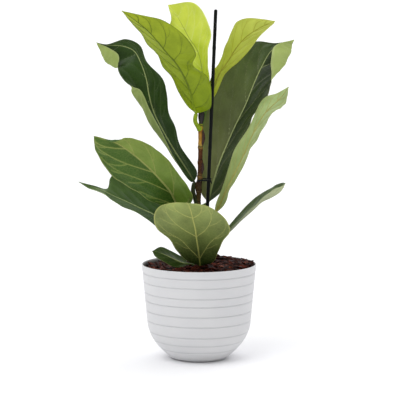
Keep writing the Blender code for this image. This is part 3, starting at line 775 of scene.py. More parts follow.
def facing_out(obj):
    """Turns a closed mesh's faces round if they face inwards."""
    mesh = obj.data
    mesh.calc_loop_triangles()
    corners = np.array([[mesh.vertices[i].co for i in t.vertices] for t in mesh.loop_triangles])
    volumes = np.einsum("ij,ij->i", corners[:, 0], np.cross(corners[:, 1], corners[:, 2]))
    if volumes.sum() < 0:
        mesh.flip_normals()
    return obj


def waves(seed, *parameters):
    """A smooth wandering value about 0 from several sine waves of the parameters."""
    rng = random.Random(seed)
    total = 0.0
    for octave in range(5):
        phase = rng.uniform(0.0, math.tau)
        mixed = sum(p * rng.uniform(-1.0, 1.0) for p in parameters)
        total = total + np.sin(math.tau * mixed * (0.7 + 0.45 * octave) + phase) / (1.5 + octave)
    return total


# Geometry Nodes.


def realised(obj, tree_name, build, values, material):
    """Runs a Geometry Nodes tree on obj and leaves its result as obj's plain mesh."""
    group = bpy.data.node_groups.new(tree_name, "GeometryNodeTree")
    group.interface.new_socket("Geometry", in_out="INPUT", socket_type="NodeSocketGeometry")
    identifiers = {}
    for name, (kind, value) in values.items():
        made = group.interface.new_socket(name, in_out="INPUT", socket_type=kind)
        identifiers[name] = made.identifier
    group.interface.new_socket("Geometry", in_out="OUTPUT", socket_type="NodeSocketGeometry")
    entry = group.nodes.new("NodeGroupInput")
    given = {s.name: s for s in entry.outputs if s.name}
    result = build(group, given)
    result = add_node(group, "GeometryNodeRealizeInstances", {"Geometry": result})
    result = add_node(group, "GeometryNodeSetMaterial", {"Geometry": result, "Material": material})
    group.links.new(result, group.nodes.new("NodeGroupOutput").inputs[0])
    modifier = obj.modifiers.new(tree_name, "NODES")
    modifier.node_group = group
    for name, (kind, value) in values.items():
        modifier[identifiers[name]] = value
    graph = bpy.context.evaluated_depsgraph_get()
    mesh = bpy.data.meshes.new_from_object(obj.evaluated_get(graph), depsgraph=graph)
    obj.modifiers.clear()
    old = obj.data
    obj.data = mesh
    bpy.data.meshes.remove(old)
    mesh.name = obj.name
    return obj


def tubes_tree(group, given):
    """Lines of edges become round tubes, as thick as each point's own radius."""
    radius = add_node(group, "GeometryNodeInputNamedAttribute", {"Name": "radius_m"}, "Attribute")
    curve = add_node(group, "GeometryNodeMeshToCurve", {"Mesh": given["Geometry"]}, "Curve")
    profile = add_node(
        group,
        "GeometryNodeCurvePrimitiveCircle",
        {"Resolution": given["Sides"], "Radius": 1.0},
        "Curve",
    )
    tubes = add_node(
        group,
        "GeometryNodeCurveToMesh",
        {"Curve": curve, "Profile Curve": profile, "Scale": radius, "Fill Caps": True},
        "Mesh",
    )
    return add_node(group, "GeometryNodeSetShadeSmooth", {"Geometry": tubes, "Shade Smooth": True})


def add_tubes(name, lines, sides, material):
    """One object of tubes, each line being (points in millimetres, radii, stalkness)."""
    points, edges, radii, stalkness = [], [], [], []
    for line, line_radii, line_stalkness in lines:
        start = len(points)
        points += [tuple(p) for p in np.asarray(line) * MM]
        edges += [(start + i, start + i + 1) for i in range(len(line) - 1)]
        radii += list(np.asarray(line_radii) * MM)
        stalkness += list(line_stalkness)
    mesh = bpy.data.meshes.new(name)
    mesh.from_pydata(points, edges, [])
    obj = bpy.data.objects.new(name, mesh)
    bpy.context.scene.collection.objects.link(obj)
    set_attribute(obj, "radius_m", radii)
    set_attribute(obj, "stalkness", stalkness)
    return realised(obj, "tubes", tubes_tree, {"Sides": ("NodeSocketInt", sides)}, material)


# The law of the leaves, as in the solid parts but for whole grids of points at once.


def unit(vectors):
    """The vectors scaled to a length of 1."""
    return vectors / np.maximum(np.linalg.norm(vectors, axis=-1, keepdims=True), 1e-9)


def along(points, t):
    """The points at t, from 0 to 1, on the smooth curve that passes through evenly spaced points."""
    points = np.asarray(points, float)
    last = len(points) - 1
    place = np.clip(np.asarray(t, float), 0.0, 1.0) * last
    i = np.minimum(place.astype(int), last - 1)
    f = (place - i)[..., None]
    ends = 2 * points[:1] - points[1:2], 2 * points[-1:] - points[-2:-1]
    around = np.concatenate([ends[0], points, ends[1]])
    before, start, end, after = (around[i + k] for k in range(4))
    return 0.5 * (
        2 * start
        + (end - before) * f
        + (2 * before - 5 * start + 4 * end - after) * f**2
        + (3 * start - before - 3 * end + after) * f**3
    )


def guides(leaf):
    """A leaf's guide curves as arrays of points, each starting and ending on the midrib."""
    midrib = np.array(leaf["midrib"], float)
    curves = {"midrib": midrib}
    for name in ("left", "right", "left_belly", "right_belly"):
        if name in leaf:
            curves[name] = np.concatenate([midrib[:1], np.array(leaf[name], float), midrib[-1:]])
    return curves


def half_blade(curves, side, share, t):
    """Points of one half of the blade, share running from 0 at the midrib to 1 at the margin."""
    middle = along(curves["midrib"], t)
    chord = along(curves[side], t) - middle
    length = np.linalg.norm(chord, axis=-1, keepdims=True)
    least = (STALK_HALF_WIDTH + t * (TIP_HALF_WIDTH - STALK_HALF_WIDTH))[..., None]
    within = np.clip(t, 0.04, 0.96)
    aside = unit(along(curves[side], within) - along(curves["midrib"], within))
    narrow = length < least
    chord = np.where(narrow, least * aside, chord)
    tangent = unit(along(curves["midrib"], t + 0.01) - along(curves["midrib"], t - 0.01))
    upward = unit(np.cross(chord if side == "right" else -chord, tangent))
    belly = middle + 0.5 * chord - CUP * np.linalg.norm(chord, axis=-1, keepdims=True) * upward
    if side + "_belly" in curves:
        belly = np.where(narrow, belly, along(curves[side + "_belly"], t))
    w = share[..., None]
    return (
        middle * (1 - w) * (1 - 2 * w) + belly * 4 * w * (1 - w) + (middle + chord) * w * (2 * w - 1)
    )


def blade(curves, across, t):
    """Points of the blade: across runs from -1 at the left margin to 1 at the right one."""
    share = np.abs(across)
    left = half_blade(curves, "left", share, t)
    right = half_blade(curves, "right", share, t)
    return np.where((across < 0)[..., None], left, right)


def upward_of(grid):
    """The directions that a grid of points faces on its upper side."""
    return unit(np.cross(np.gradient(grid, axis=1), np.gradient(grid, axis=0)))


def read_grid(grid, across, t):
    """A grid's values at places between its points."""
    row = np.clip(np.asarray(t) * (LEAF_ROWS - 1), 0, LEAF_ROWS - 1.001)
    column = np.clip((np.asarray(across) + 1) / 2 * (LEAF_COLUMNS - 1), 0, LEAF_COLUMNS - 1.001)
    r, c = row.astype(int), column.astype(int)
    fr, fc = (row - r)[:, None], (column - c)[:, None]
    near = grid[r, c] * (1 - fc) + grid[r, c + 1] * fc
    far = grid[r + 1, c] * (1 - fc) + grid[r + 1, c + 1] * fc
    return near * (1 - fr) + far * fr


def side_vein(start, reach, sign):
    """A side vein's places (across, t): out from the midrib, then forward beside the margin."""
    s = np.linspace(0.0, 1.0, 22)
    across = 0.93 * (1 - (1 - s) ** 1.2)
    t = start + reach * s**1.02
    keep = t < 0.985
    return sign * across[keep], t[keep], s[keep]


def branch(across, t, sign, where, width):
    """A thinner vein that forks off a side vein and heads for the margin."""
    first = int(where * (len(across) - 1))
    s = np.linspace(0.0, 1.0, 9)
    start = abs(across[first])
    reach = np.interp(start, (0.0, 1.0), (0.05, 0.03)) * width
    return sign * (start + (0.94 - start) * 0.8 * s), np.minimum(t[first] + reach * s**1.6, 0.985)


def vein_places(name):
    """Every side vein and branch of a leaf as (across, t, relative radii).

    The first veins, near the stalk, run less far forward, and a side vein that the tip cuts short
    has no branches.
    """
    found = []
    for side, sign, reach in zip(("left", "right"), (-1, 1), VEINS[name]["reach"]):
        for number, start in enumerate(VEINS[name][side]):
            grown = reach * (0.35 + 0.65 * min(1.0, start / 0.15))
            across, t, s = side_vein(start, min(grown, 0.8 * (1.0 - start)), sign)
            if len(across) < 5:
                continue
            found.append((across, t, 1 - 0.85 * s))
            forks = (0.36, 0.62) if len(across) >= 20 else ()
            for where in forks:
                fork_across, fork_t = branch(across, t, sign, where + 0.05 * (number % 2), 1.4)
                found.append((fork_across, fork_t, np.linspace(0.38, 0.14, len(fork_across))))
    return found


def vein_distances(grid, places):
    """How far each point of the grid is from the nearest vein, in millimetres."""
    lines = [read_grid(grid, across, t) for across, t, relative in places]
    lines.append(read_grid(grid, np.zeros(160), np.linspace(0.0, 0.99, 160)))
    veins = np.concatenate([dense(line, 4) for line in lines])
    flat = grid.reshape(-1, 3)
    nearest = np.full(len(flat), 1e9)
    for start in range(0, len(veins), 200):
        some = veins[start : start + 200]
        squares = ((flat[:, None, :] - some[None]) ** 2).sum(-1)
        nearest = np.minimum(nearest, squares.min(axis=1))
    return np.sqrt(nearest).reshape(grid.shape[:2])


def dense(line, times):
    """A line's points with more points between them."""
    places = np.linspace(0, len(line) - 1, times * len(line))
    return np.stack([np.interp(places, range(len(line)), line[:, i]) for i in range(3)], -1)


def leaf_surface(name, seed):
    """A leaf's surface with its cushions and waves, and what its materials read."""
    curves = guides(LEAVES[name])
    t, across = np.meshgrid(
        np.linspace(0.0, 1.0, LEAF_ROWS), np.linspace(-1.0, 1.0, LEAF_COLUMNS), indexing="ij"
    )
    grid = blade(curves, across, t)
    places = vein_places(name)
    distances = vein_distances(grid, places)
    share = np.abs(across)
    length = np.linalg.norm(curves["midrib"][-1] - curves["midrib"][0]) / 240.0
    width = np.linalg.norm(np.diff(grid, axis=1), axis=2).sum(axis=1)[:, None] / 60.0
    scale = min(1.0, length) * np.clip(width, 0.0, 1.0)
    cushions = CUSHION_HEIGHT * scale * (1 - np.exp(-distances / CUSHION_REACH))
    cushions = cushions * np.clip((1 - share) / 0.12, 0.0, 1.0)
    left_wave = waves(seed, t * 5.5 * length)
    right_wave = waves(seed + 50, t * 5.5 * length)
    margin = np.where(across < 0, left_wave, right_wave) * share**3 * WAVE_HEIGHT * scale
    swell = waves(seed + 90, t * 3.0, across * 1.4) * SWELL_HEIGHT * share * scale
    fade = np.clip(np.minimum(t / 0.06, (1 - t) / 0.06), 0.0, 1.0)
    grid = grid + upward_of(grid) * ((cushions + margin + swell) * fade)[..., None]
    return grid, across, t, distances, places


def leaf_uv(grid):
    """Places on the flattened leaf in metres: across from the midrib, and along it."""
    middle = LEAF_COLUMNS // 2
    steps = np.linalg.norm(np.diff(grid, axis=1), axis=2)
    u = np.concatenate([np.zeros((len(grid), 1)), np.cumsum(steps, axis=1)], axis=1)
    u = u - u[:, middle : middle + 1]
    v = np.linalg.norm(np.diff(grid[:, middle], axis=0), axis=1)
    v = np.concatenate([[0.0], np.cumsum(v)])[:, None] + np.zeros_like(u)
    return np.stack([u, v], -1) * MM


def add_blade(name, grid, across, t, distances, materials):
    """The blade as one closed sheet, a little thinner at its margin, with what its skin reads."""
    edge = np.clip((1 - np.abs(across)) / 0.1, 0, 1)
    thickness = LEAF_THICKNESS * (0.5 + 0.5 * edge)[..., None]
    obj = closed_sheet(name + "_blade", grid, upward_of(grid) * thickness / 2, materials)
    read = {
        "forward": t,
        "aside": np.abs(across),
        # Where the painted half shade falls.
        "right_half": np.clip(0.5 + across / 0.08, 0.0, 1.0),
        "vein_mm": distances,
    }
    for attribute, values in read.items():
        set_attribute(obj, attribute, np.concatenate([values.reshape(-1)] * 2))
    places = np.concatenate([leaf_uv(grid).reshape(-1, 2)] * 2)
    corners = np.empty(len(obj.data.loops), np.int32)
    obj.data.loops.foreach_get("vertex_index", corners)
    layer = obj.data.uv_layers.new(name="leaf")
    layer.data.foreach_set("uv", places[corners].astype(np.float32).reshape(-1))
    return obj


def stalk_line(name):
    """The stalk's points in millimetres, from inside the stem to just short of the blade."""
    stalk = np.array(LEAVES[name]["stalk"], float)
    inside = stem_point(max(stalk[0][2] - 2.5, SOIL_TOP))
    towards = unit((stalk[0] - inside) * np.array([1.0, 1.0, 0.0]))
    return np.concatenate([[inside + 1.2 * towards], stalk[1:]])


def add_veins(name, grid, places, size, upper_material, under_material):
    """The stalk, the midrib and the side veins, raised on the underside and fine on the upper."""
    upward = upward_of(grid)
    t = np.linspace(0.0, 0.985, 60)
    middle = np.zeros(len(t))
    under_radii = np.interp(t, (0.0, 0.12, 0.5, 1.0), (2.1, 1.7, 1.1, 0.4)) * (0.55 + 0.45 * size)
    upper_radii = np.interp(t, (0.0, 0.12, 1.0), (0.6, 0.34, 0.15))
    made = []
    for side, sign, bold, radii, sides, material in (
        ("under", -1.0, 1.0, under_radii, 8, under_material),
        ("upper", 1.0, UPPER_VEIN_SHARE, upper_radii, 5, upper_material),
    ):
        surface = grid + sign * upward * LEAF_THICKNESS / 2
        rib = read_grid(surface, middle, t)
        rib = rib - sign * read_grid(upward, middle, t) * 0.35 * radii[:, None]
        stalkness = np.interp(t, (0.0, 0.25), (1.0, 0.15))
        if side == "under":
            turning = np.concatenate([stalk_line(name), rib[:1]])
            stalk = along(turning, np.linspace(0, 1, STALK_STEPS + 1))[:-1]
            wide = np.interp(np.linspace(0, 1, STALK_STEPS), (0, 0.25, 1), (1.35, 1.0, 0.95))
            thickness = STALK_RADII.get(name, STALK_RADIUS) * (0.55 + 0.45 * size)
            rib = np.concatenate([stalk, rib])
            radii = np.concatenate([thickness * wide, radii])
            stalkness = np.concatenate([np.ones(STALK_STEPS), stalkness])
        lines = [(rib, radii, stalkness)]
        for across, vein_t, relative in places:
            vein_radii = SIDE_VEIN_RADIUS * bold * relative * (0.5 + 0.5 * size)
            line = read_grid(surface, across, vein_t)
            lift = read_grid(upward, across, vein_t) * 0.3 * vein_radii[:, None]
            lines.append((line - sign * lift, vein_radii, np.zeros(len(line))))
        made.append(add_tubes(f"{name}_veins_{side}", lines, sides, material))
    return made


def add_leaf(name, seed):
    """A leaf's blade, with a skin on each side, and its stalk and veins."""
    finish = "young_leaf" if name in YOUNG_LEAVES else "mature_leaf"
    upper_base, upper_tip, under_base, under_tip, upper_vein, under_vein, stalk = LEAF_COLOURS[name]
    # Some leaf sides get painted shade on their right half.
    upper = leaf_material(
        name + "_upper_skin",
        upper_base,
        upper_tip,
        upper_vein,
        HALF_PAINTED_SHADE.get((name, "upper"), NO_HALF_SHADE),
        roughness=0.32,
        gloss=DULL_LEAVES.get(name, UPPER_GLOSS),
        halo=0.2,
        network=0.05,
    )
    under = leaf_material(
        name + "_underside_skin",
        under_base,
        under_tip,
        under_vein,
        HALF_PAINTED_SHADE.get((name, "underside"), NO_HALF_SHADE),
        roughness=0.5,
        gloss=0.25,
        halo=0.45,
        network=0.12,
    )
    grid, across, t, distances, places = leaf_surface(name, seed)
    size = min(1.0, np.linalg.norm(grid[-1, 0] - grid[0, 0]) / 220.0)
    piece(add_blade(name, grid, across, t, distances, [upper, under]), finish, name)
    upper_ribs = vein_material(name + "_upper_vein", upper_vein, stalk, 0.4)
    under_ribs = vein_material(name + "_underside_vein", under_vein, stalk, 0.5)
    for veins in add_veins(name, grid, places, size, upper_ribs, under_ribs):
        piece(veins, finish)


# The pot.


def outer_radius(height):
    """The pot's outside: a straight taper above, and below it a curve that turns in to the foot."""
    slope = (RIM_RADIUS - TAPER_RADIUS) / (POT_HEIGHT - TAPER_BOTTOM)
    if height >= TAPER_BOTTOM:
        return TAPER_RADIUS + slope * (height - TAPER_BOTTOM)
    drop = (TAPER_BOTTOM - height) / TAPER_BOTTOM
    straight = TAPER_RADIUS - slope * (TAPER_BOTTOM - height)
    turned_in = TAPER_RADIUS - slope * TAPER_BOTTOM - FOOT_RADIUS
    return straight - turned_in * drop**FOOT_CURVE


def groove(height):
    """How deep the grooves cut at a height: a step in from above, easing out below."""
    cut = 0.0
    for centre in GROOVE_HEIGHTS:
        above = height - centre
        if 0 <= above < GROOVE_ABOVE:
            cut = max(cut, 1 - above / GROOVE_ABOVE)
        elif -GROOVE_BELOW < above < 0:
            cut = max(cut, (1 + above / GROOVE_BELOW) ** 1.5)
    return GROOVE_CUT * cut


def add_pot():
    """The pot's shell, turned from one outline: inside, rounded lip, grooved outside and foot."""
    inside = [(0.0, FLOOR_TOP)]
    for z in np.linspace(FLOOR_TOP, POT_HEIGHT - 3.0, 30):
        inside.append((outer_radius(z + WALL / 2) - WALL, z))
    lip = []
    for angle in np.linspace(math.pi, 0.0, 13):
        across, up = WALL / 2 * math.cos(angle), WALL / 2 * math.sin(angle)
        lip.append((RIM_RADIUS - WALL / 2 + across, POT_HEIGHT - WALL / 2 + up))
    outside = []
    for z in np.arange(POT_HEIGHT - 2.5, FOOT_HEIGHT + 0.4, -POT_ROW_HEIGHT):
        outside.append((outer_radius(z) - groove(z), z))
    foot = [
        (outer_radius(FOOT_HEIGHT) - 0.3, FOOT_HEIGHT),
        (FOOT_RADIUS - 3.0, FOOT_HEIGHT - 0.3),
        (FOOT_RADIUS - 4.0, 0.0),
        (0.0, 0.0),
    ]
    pot = lathe("pot_shell", inside + lip + outside + foot, POT_SIDES, [plastic_material()])
    # Masks for painted shade: the wall inside below the lip, and the grooves outside.
    painted_inner_shade, wear_and_groove_shade = [], []
    for vertex in pot.data.vertices:
        radius = math.hypot(vertex.co.x, vertex.co.y) / MM
        height = vertex.co.z / MM
        below_lip = POT_HEIGHT - 2.2 - height
        within = below_lip > 0 and height > 3.0 and radius < outer_radius(height) - 1.6
        painted_inner_shade.append(min(below_lip / 1.5, 1.0) if within else 0.0)
        wear_and_groove_shade.append(0.0 if within else groove(height) / GROOVE_CUT)
    set_attribute(pot, "inside", painted_inner_shade)
    set_attribute(pot, "groove", wear_and_groove_shade)
    piece(pot, "pot_plastic", "pot")


# The soil.


def soil_height(x, y):
    """The soil's level: a little domed, lower beside the wall, higher at the back right, uneven."""
    radius = np.hypot(x, y)
    dome = SOIL_TOP + 0.8 - 1.6 * np.clip((radius - 60.0) / 32.0, 0.0, 1.0) ** 2
    return dome + 5.2 * np.clip((y + x) / 85.0, 0.0, 1.0) + 1.3 * waves(7, x / 34.0, y / 34.0)


def add_soil_bed(material):
    """Fine dark crumbs under the chips, closed below."""
    rings = np.linspace(0.0, SOIL_RADIUS, SOIL_RINGS + 1)[1:]
    turn = np.linspace(0.0, math.tau, SOIL_SIDES, endpoint=False)
    radius, angle = np.meshgrid(rings, turn, indexing="ij")
    x, y = radius * np.cos(angle), radius * np.sin(angle)
    crumbs = 1.1 * waves(21, x / 5.0, y / 5.0) + 0.7 * waves(22, x / 2.7, y / 2.7)
    z = soil_height(x, y) + crumbs * np.clip((SOIL_RADIUS - radius) / 3.0, 0.0, 1.0)
    bottom = SOIL_TOP - SOIL_DEPTH
    wall = np.stack([x[-1], y[-1], np.full(SOIL_SIDES, bottom)], -1)
    surface = np.concatenate([np.stack([x, y, z], -1), wall[None]])
    bed = closed_rings("soil_bed", surface, [(0, 0, SOIL_TOP)], [(0, 0, bottom)], [material])
    set_attribute(bed, "shade", np.full(len(bed.data.vertices), 0.12))
    return bed


def chip_shape(number):
    """One flat, broken chip of bark, about 1 long, as points and faces."""
    rng = random.Random(300 + number)
    columns, rows = 8, 6
    width, height = rng.uniform(0.36, 0.62), rng.uniform(0.16, 0.3)
    points = []
    for row in range(rows):
        x = row / (rows - 1) - 0.5
        taper = 1 - abs(2 * x) ** rng.uniform(2.0, 4.0) * rng.uniform(0.3, 0.75)
        for column in range(columns):
            angle = math.tau * column / columns
            corner = 0.75 + 0.25 * abs(math.cos(2 * angle))
            ragged = rng.uniform(0.78, 1.14)
            reach = 0.5 * taper * corner * ragged
            along_chip = x * (0.88 + 0.12 * ragged) + rng.uniform(-0.03, 0.03)
            across = width * reach * math.cos(angle) + 0.1 * x * x
            points.append((along_chip, across, height * reach * math.sin(angle) - 0.12 * x * x))
    faces = grid_faces(rows, columns, wrap=True)
    faces.append(tuple(reversed(range(columns))))
    faces.append(tuple(range((rows - 1) * columns, rows * columns)))
    return points, faces


def chips_tree(group, given):
    """Chips of several shapes lie all over the ground, turned, sized and shaded at random."""
    spread = add_node(
        group,
        "GeometryNodeDistributePointsOnFaces",
        {
            "Mesh": given["Geometry"],
            "Distance Min": given["Spacing"],
            "Density Max": given["Density"],
            "Seed": given["Seed"],
        },
        "Points",
        distribute_method="POISSON",
    )
    turn = add_node(
        group,
        "FunctionNodeRandomValue",
        {"Min": (-0.55, -0.55, 0.0), "Max": (0.55, 0.55, math.tau), "Seed": 31},
        "Value",
        data_type="FLOAT_VECTOR",
    )
    size, shade = (
        add_node(
            group,
            "FunctionNodeRandomValue",
            {"Min_001": low, "Max_001": high, "Seed": seed},
            "Value_001",
            data_type="FLOAT",
        )
        for low, high, seed in ((0.55, 1.25, 32), (0.0, 1.0, 33))
    )
    shapes = add_node(
        group,
        "GeometryNodeCollectionInfo",
        {"Collection": given["Shapes"], "Separate Children": True, "Reset Children": True},
    )
    laid = add_node(
        group,
        "GeometryNodeInstanceOnPoints",
        {
            "Points": spread,
            "Instance": shapes,
            "Pick Instance": True,
            "Rotation": add_node(group, "FunctionNodeEulerToRotation", {0: turn}),
            "Scale": add_node(
                group, "ShaderNodeMath", {0: size, 1: given["Length"]}, operation="MULTIPLY"
            ),
        },
    )
    return add_node(
        group,
        "GeometryNodeStoreNamedAttribute",
        {"Geometry": laid, "Name": "shade", "Value": shade},
        domain="INSTANCE",
        data_type="FLOAT",
    )


def ground_disc():
    """The surface that the chips are laid on."""
    rings = np.linspace(3.0, 88.0, 24)
    turn = np.linspace(0.0, math.tau, 72, endpoint=False)
    radius, angle = np.meshgrid(rings, turn, indexing="ij")
    x, y = radius * np.cos(angle), radius * np.sin(angle)
    points = np.stack([x, y, soil_height(x, y) + 0.6], -1).reshape(-1, 3)
    faces = grid_faces(len(rings), len(turn), wrap=True)
    return new_mesh_object("soil_chips", points, faces, [])


def add_chips(material):
    """The chips of bark on top of the bed, all in one mesh."""
    shapes = bpy.data.collections.new("chip_shapes")
    for number in range(CHIP_SHAPES):
        points, faces = chip_shape(number)
        chip = new_mesh_object(
            f"chip_shape_{number}", np.array(points) / MM, faces, [material], collection=shapes
        )
        facing_out(chip).data.polygons.foreach_set("use_smooth", [False] * len(faces))
    chips = ground_disc()
    values = {
        "Spacing": ("NodeSocketFloat", CHIP_SPACING * MM),
        "Density": ("NodeSocketFloat", 60000.0),
        "Seed": ("NodeSocketInt", 5),
        "Length": ("NodeSocketFloat", CHIP_LENGTH * MM),
        "Shapes": ("NodeSocketCollection", shapes),
    }
    realised(chips, "bark_chips", chips_tree, values, material)
    for obj in list(shapes.objects):
        bpy.data.objects.remove(obj, do_unlink=True)
    bpy.data.collections.remove(shapes)
    keep_inside_pot(chips, CHIPS_RADIUS)
    return chips


def keep_inside_pot(obj, limit):
    """Presses whatever would pass through the pot's wall back against it."""
    mesh = obj.data
    flat = np.empty(len(mesh.vertices) * 3, np.float32)
    mesh.vertices.foreach_get("co", flat)
    points = flat.reshape(-1, 3).astype(float)
    radius = np.hypot(points[:, 0], points[:, 1])
    shrink = np.where(radius > limit * MM, limit * MM / np.maximum(radius, 1e-9), 1.0)
    points[:, :2] *= shrink[:, None]
    mesh.vertices.foreach_set("co", points.astype(np.float32).reshape(-1))
    mesh.update()


def add_soil():
    """The bed of soil and the chips on it, which stand for all the solid chips."""
    material = bark_chip_material()
    bed = add_soil_bed(material)
    chips = add_chips(material)
    piece(bed, "bark", "potting_soil")
    piece(chips, "bark", *sorted(n for n in frame["nodes"] if n.startswith("bark_chip_")))


# The stem and what is tied to it.


def stem_point(height):
    """The stem's centre at a height, in millimetres."""
    heights = [point[2] for point in STEM_LINE]
    return np.array([np.interp(height, heights, [p[i] for p in STEM_LINE]) for i in range(3)])


def stake_point(height):
    """The stake's centre at a height, in millimetres."""
    share = (height - STAKE_BOTTOM[2]) / (STAKE_TOP[2] - STAKE_BOTTOM[2])
    return np.array(STAKE_BOTTOM) + share * (np.array(STAKE_TOP) - np.array(STAKE_BOTTOM))


def add_stem():
    """The stem with a swelling and a ring scar at each place where a leaf grows or grew."""
    heights = np.arange(STEM_BOTTOM, STEM_TOP, STEM_ROW_HEIGHT)
    centres = np.stack([stem_point(z) for z in heights])
    for i in range(2):
        centres[7:-7, i] = np.convolve(centres[:, i], np.ones(15) / 15, mode="valid")
    base = np.interp(heights, [p[2] for p in STEM_LINE], STEM_RADII)
    turn = np.linspace(0.0, math.tau, STEM_SIDES, endpoint=False)
    z, angle = np.meshgrid(heights, turn, indexing="ij")
    swelling = np.zeros_like(z)
    scar = np.zeros_like(z)
    for number, node in enumerate(STEM_NODES):
        tilt = 1.2 * np.cos(angle + 2.4 * number)
        swelling += 0.75 * np.exp(-(((z - node - tilt) / 3.2) ** 2))
        swelling -= 0.35 * np.exp(-(((z - node - 2.6 - tilt) / 0.7) ** 2))
        scar = np.maximum(scar, np.exp(-(((z - node - 2.4 - tilt) / 0.85) ** 2)))
    knob = np.exp(-(((z - KNOB_HEIGHT) / KNOB_LENGTH) ** 2))
    knob = knob * np.clip(np.cos(angle), 0.0, 1.0) ** 1.5
    rough = 0.16 * waves(5, z / 9.0, np.cos(angle), np.sin(angle))
    rough = rough + 0.08 * waves(6, z / 2.5, 2 * np.cos(angle), 2 * np.sin(angle))
    end = np.clip((STEM_TOP - z) / 5.0, 0.0, 1.0) ** 0.5
    radii = (base[:, None] * 1.04 + swelling + rough + KNOB_BULGE * knob) * (0.35 + 0.65 * end)
    stem = sweep("stem_bark", centres, radii, [stem_material()], STEM_SIDES)
    set_attribute(stem, "scar", np.concatenate([scar.reshape(-1), [0.0, 0.0]]))
    piece(stem, "stem_bark", "stem")


def add_stake():
    """The coated cane, with the slight knots of the cane inside and a rounded top."""
    top = float(STAKE_TOP[2])
    steps = np.append(np.arange(STAKE_BOTTOM[2], top + 0.6, 1.6), [top + 0.8, top + 1.0])
    centres = np.stack([stake_point(min(z, top)) + [0, 0, max(z - top, 0.0)] for z in steps])
    radii = STAKE_RADIUS + 0.06 * waves(61, steps / 70.0)
    for knot in STAKE_KNOTS:
        radii = radii + 0.32 * np.exp(-(((steps - knot) / 2.2) ** 2))
    rounding = np.sqrt(np.clip((top + 1.05 - steps) / 1.3, 0.0, 1.0))
    material = coated_material("dark_green_coating", "#020605", "#0A120F", 0.4)
    stake = sweep("stake_cane", centres, radii * np.clip(rounding, 0.15, 1.0), [material], 24)
    piece(stake, "stake_coating", "stake")


def tie_line(height, lean, swing):
    """One turn of the tie: an oval round the stem and the stake."""
    stem, stake = stem_point(height), stake_point(height)
    middle = (stem + stake) / 2
    half_length = np.linalg.norm(stake - stem) / 2 + 4.1
    points = []
    for angle in np.linspace(0.0, math.tau, 73):
        x = half_length * math.copysign(abs(math.cos(angle)) ** 0.62, math.cos(angle))
        y = 5.2 * math.copysign(abs(math.sin(angle)) ** 0.62, math.sin(angle))
        points.append(middle + np.array([x, y, lean * x + swing * math.sin(angle)]))
    return np.array(points)


def add_tie():
    """Flat black twist tie: two turns and a twisted pair of ends at the front."""
    lines = []
    for height, lean, swing in ((TIE_HEIGHT + 1.2, 0.1, 0.6), (TIE_HEIGHT - 1.3, 0.05, -0.8)):
        points = tie_line(height, lean, swing)
        lines.append((points, np.full(len(points), TIE_TURN_RADIUS), np.zeros(len(points))))
    start = stem_point(TIE_HEIGHT) + np.array([12.5, -6.2, 0.0])
    s = np.linspace(0.0, 1.0, 40)
    spread = 0.75 + 2.2 * np.clip(s - 0.75, 0.0, 1.0)
    for phase in (0.0, math.pi):
        turn = phase + 5.5 * math.pi * s
        drop = 4 * s**2
        twist = np.stack([7.2 * s, spread * np.cos(turn), spread * np.sin(turn) - drop], -1)
        lines.append((start + twist, np.full(len(s), TIE_END_RADIUS), np.zeros(len(s))))
    material = coated_material("black_tie_plastic", "#0A0C0C", "#2A2E2E", 0.28)
    tie = add_tubes("tie_wire", lines, 8, material)
    piece(tie, "stake_coating", "tie")


def add_sheath(name, node, bottom, top, bulge, width, material):
    """A dry, papery bud sheath: a pointed boat shape from bottom to top, curled at its edges."""
    s, w = np.meshgrid(np.linspace(0, 1, 26), np.linspace(-1, 1, 17), indexing="ij")
    bottom, top, bulge = (np.array(corner, float) for corner in (bottom, top, bulge))
    outward = unit(bulge)
    sideways = unit(np.cross(outward, top - bottom))
    half = width * np.sin(math.pi * np.clip(s, 0.02, 0.98)) ** 0.7 + 0.25
    curl = 1.9 * w
    out = np.sin(math.pi * s) ** 1.3 * np.linalg.norm(bulge)
    out = out + half * 0.75 * (np.cos(curl) - 0.3) + 0.35 * waves(77, s * 4.0, w * 2.0)
    line = bottom * (1 - s[..., None]) + top * s[..., None]
    points = line + out[..., None] * outward + (half * np.sin(curl))[..., None] * sideways
    sheath = closed_sheet(name, points, 0.2 * upward_of(points), [material])
    piece(facing_out(sheath), "dry_sheath", node)


def add_buds():
    """The two dry sheaths, and the dark pointed bud at the top of the stem."""
    brown = papery_material("dry_fig_sheath", "#150604", "#4A2014")
    dark = papery_material("dark_fig_bud", "#0B0604", "#1E100A")
    for sheath in SHEATHS:
        add_sheath(*sheath, brown)
    s = np.linspace(0.0, 1.0, 30)
    centres = np.stack([3.2 + 1.2 * s, -1.2 + 0.6 * s, 390 + 26 * s], -1)
    radii = 5.2 * np.sin(math.pi * np.clip(0.18 + 0.82 * s**1.3, 0, 0.985)) ** 0.9
    piece(sweep("bud_tip", centres, radii, [dark]), "dry_sheath", "terminal_bud")


# The studio.


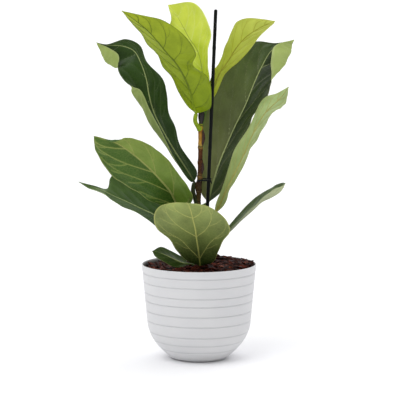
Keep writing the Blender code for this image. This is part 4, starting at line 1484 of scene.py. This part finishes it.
def studio_world():
    """Soft light from above, with a bright wall behind the plant and a darker room in front."""
    world = bpy.data.worlds.new("studio")
    world.use_nodes = True
    tree = world.node_tree
    direction = add_node(tree, "ShaderNodeTexCoord", output="Generated")
    backward = add_node(tree, "ShaderNodeSeparateXYZ", {0: direction}, "Y")
    upward = add_node(tree, "ShaderNodeSeparateXYZ", {0: direction}, "Z")
    reach = {"From Min": -0.8, "From Max": 0.8, "To Min": ROOM_FRONT, "To Max": ROOM_BACK}
    room = add_node(
        tree, "ShaderNodeMapRange", {"Value": backward, **reach}, interpolation_type="SMOOTHSTEP"
    )
    reach = {"From Min": 0.05, "From Max": 0.95}
    height = add_node(
        tree, "ShaderNodeMapRange", {"Value": upward, **reach}, interpolation_type="SMOOTHSTEP"
    )
    brightness = {"Factor_Float": height, "A_Float": room, "B_Float": ROOM_TOP}
    strength = add_node(tree, "ShaderNodeMix", brightness)
    background = tree.nodes["Background"]
    background.inputs["Color"].default_value = linear("#FDFDFF")
    tree.links.new(strength, background.inputs["Strength"])
    return world


def add_studio():
    """The paper floor, the lit room and the two soft lamps."""
    size = FLOOR_HALF_SIZE
    corners = [(-size, -size, 0), (size, -size, 0), (size, size, 0), (-size, size, 0)]
    floor = new_mesh_object("studio_floor", corners, [(0, 1, 2, 3)], [floor_material()])
    bpy.context.scene.world = studio_world()
    for name, turn, power, softness in SOFT_SUNS:
        light = bpy.data.lights.new(name, "SUN")
        light.energy = power
        light.angle = math.radians(softness)
        lamp = bpy.data.objects.new(name, light)
        bpy.context.scene.collection.objects.link(lamp)
        lamp.rotation_euler = [math.radians(degrees) for degrees in turn]
    bpy.context.scene.view_settings.view_transform = "Standard"


def add_camera():
    """The camera, level from side to side and aimed a little down at the plant."""
    data = bpy.data.cameras.new("camera")
    data.sensor_width = CAMERA_SENSOR
    data.lens = CAMERA_LENS
    data.clip_end = CAMERA_REACH
    camera = bpy.data.objects.new("camera", data)
    bpy.context.scene.collection.objects.link(camera)
    camera.location = CAMERA_PLACE
    camera.rotation_euler = (math.radians(CAMERA_PITCH), 0.0, 0.0)
    bpy.context.scene.camera = camera


add_camera()
add_studio()
add_pot()
add_soil()
add_stem()
add_stake()
add_tie()
add_buds()
for leaf_seed, leaf_name in enumerate(LEAVES, start=1):
    add_leaf(leaf_name, 10 * leaf_seed)
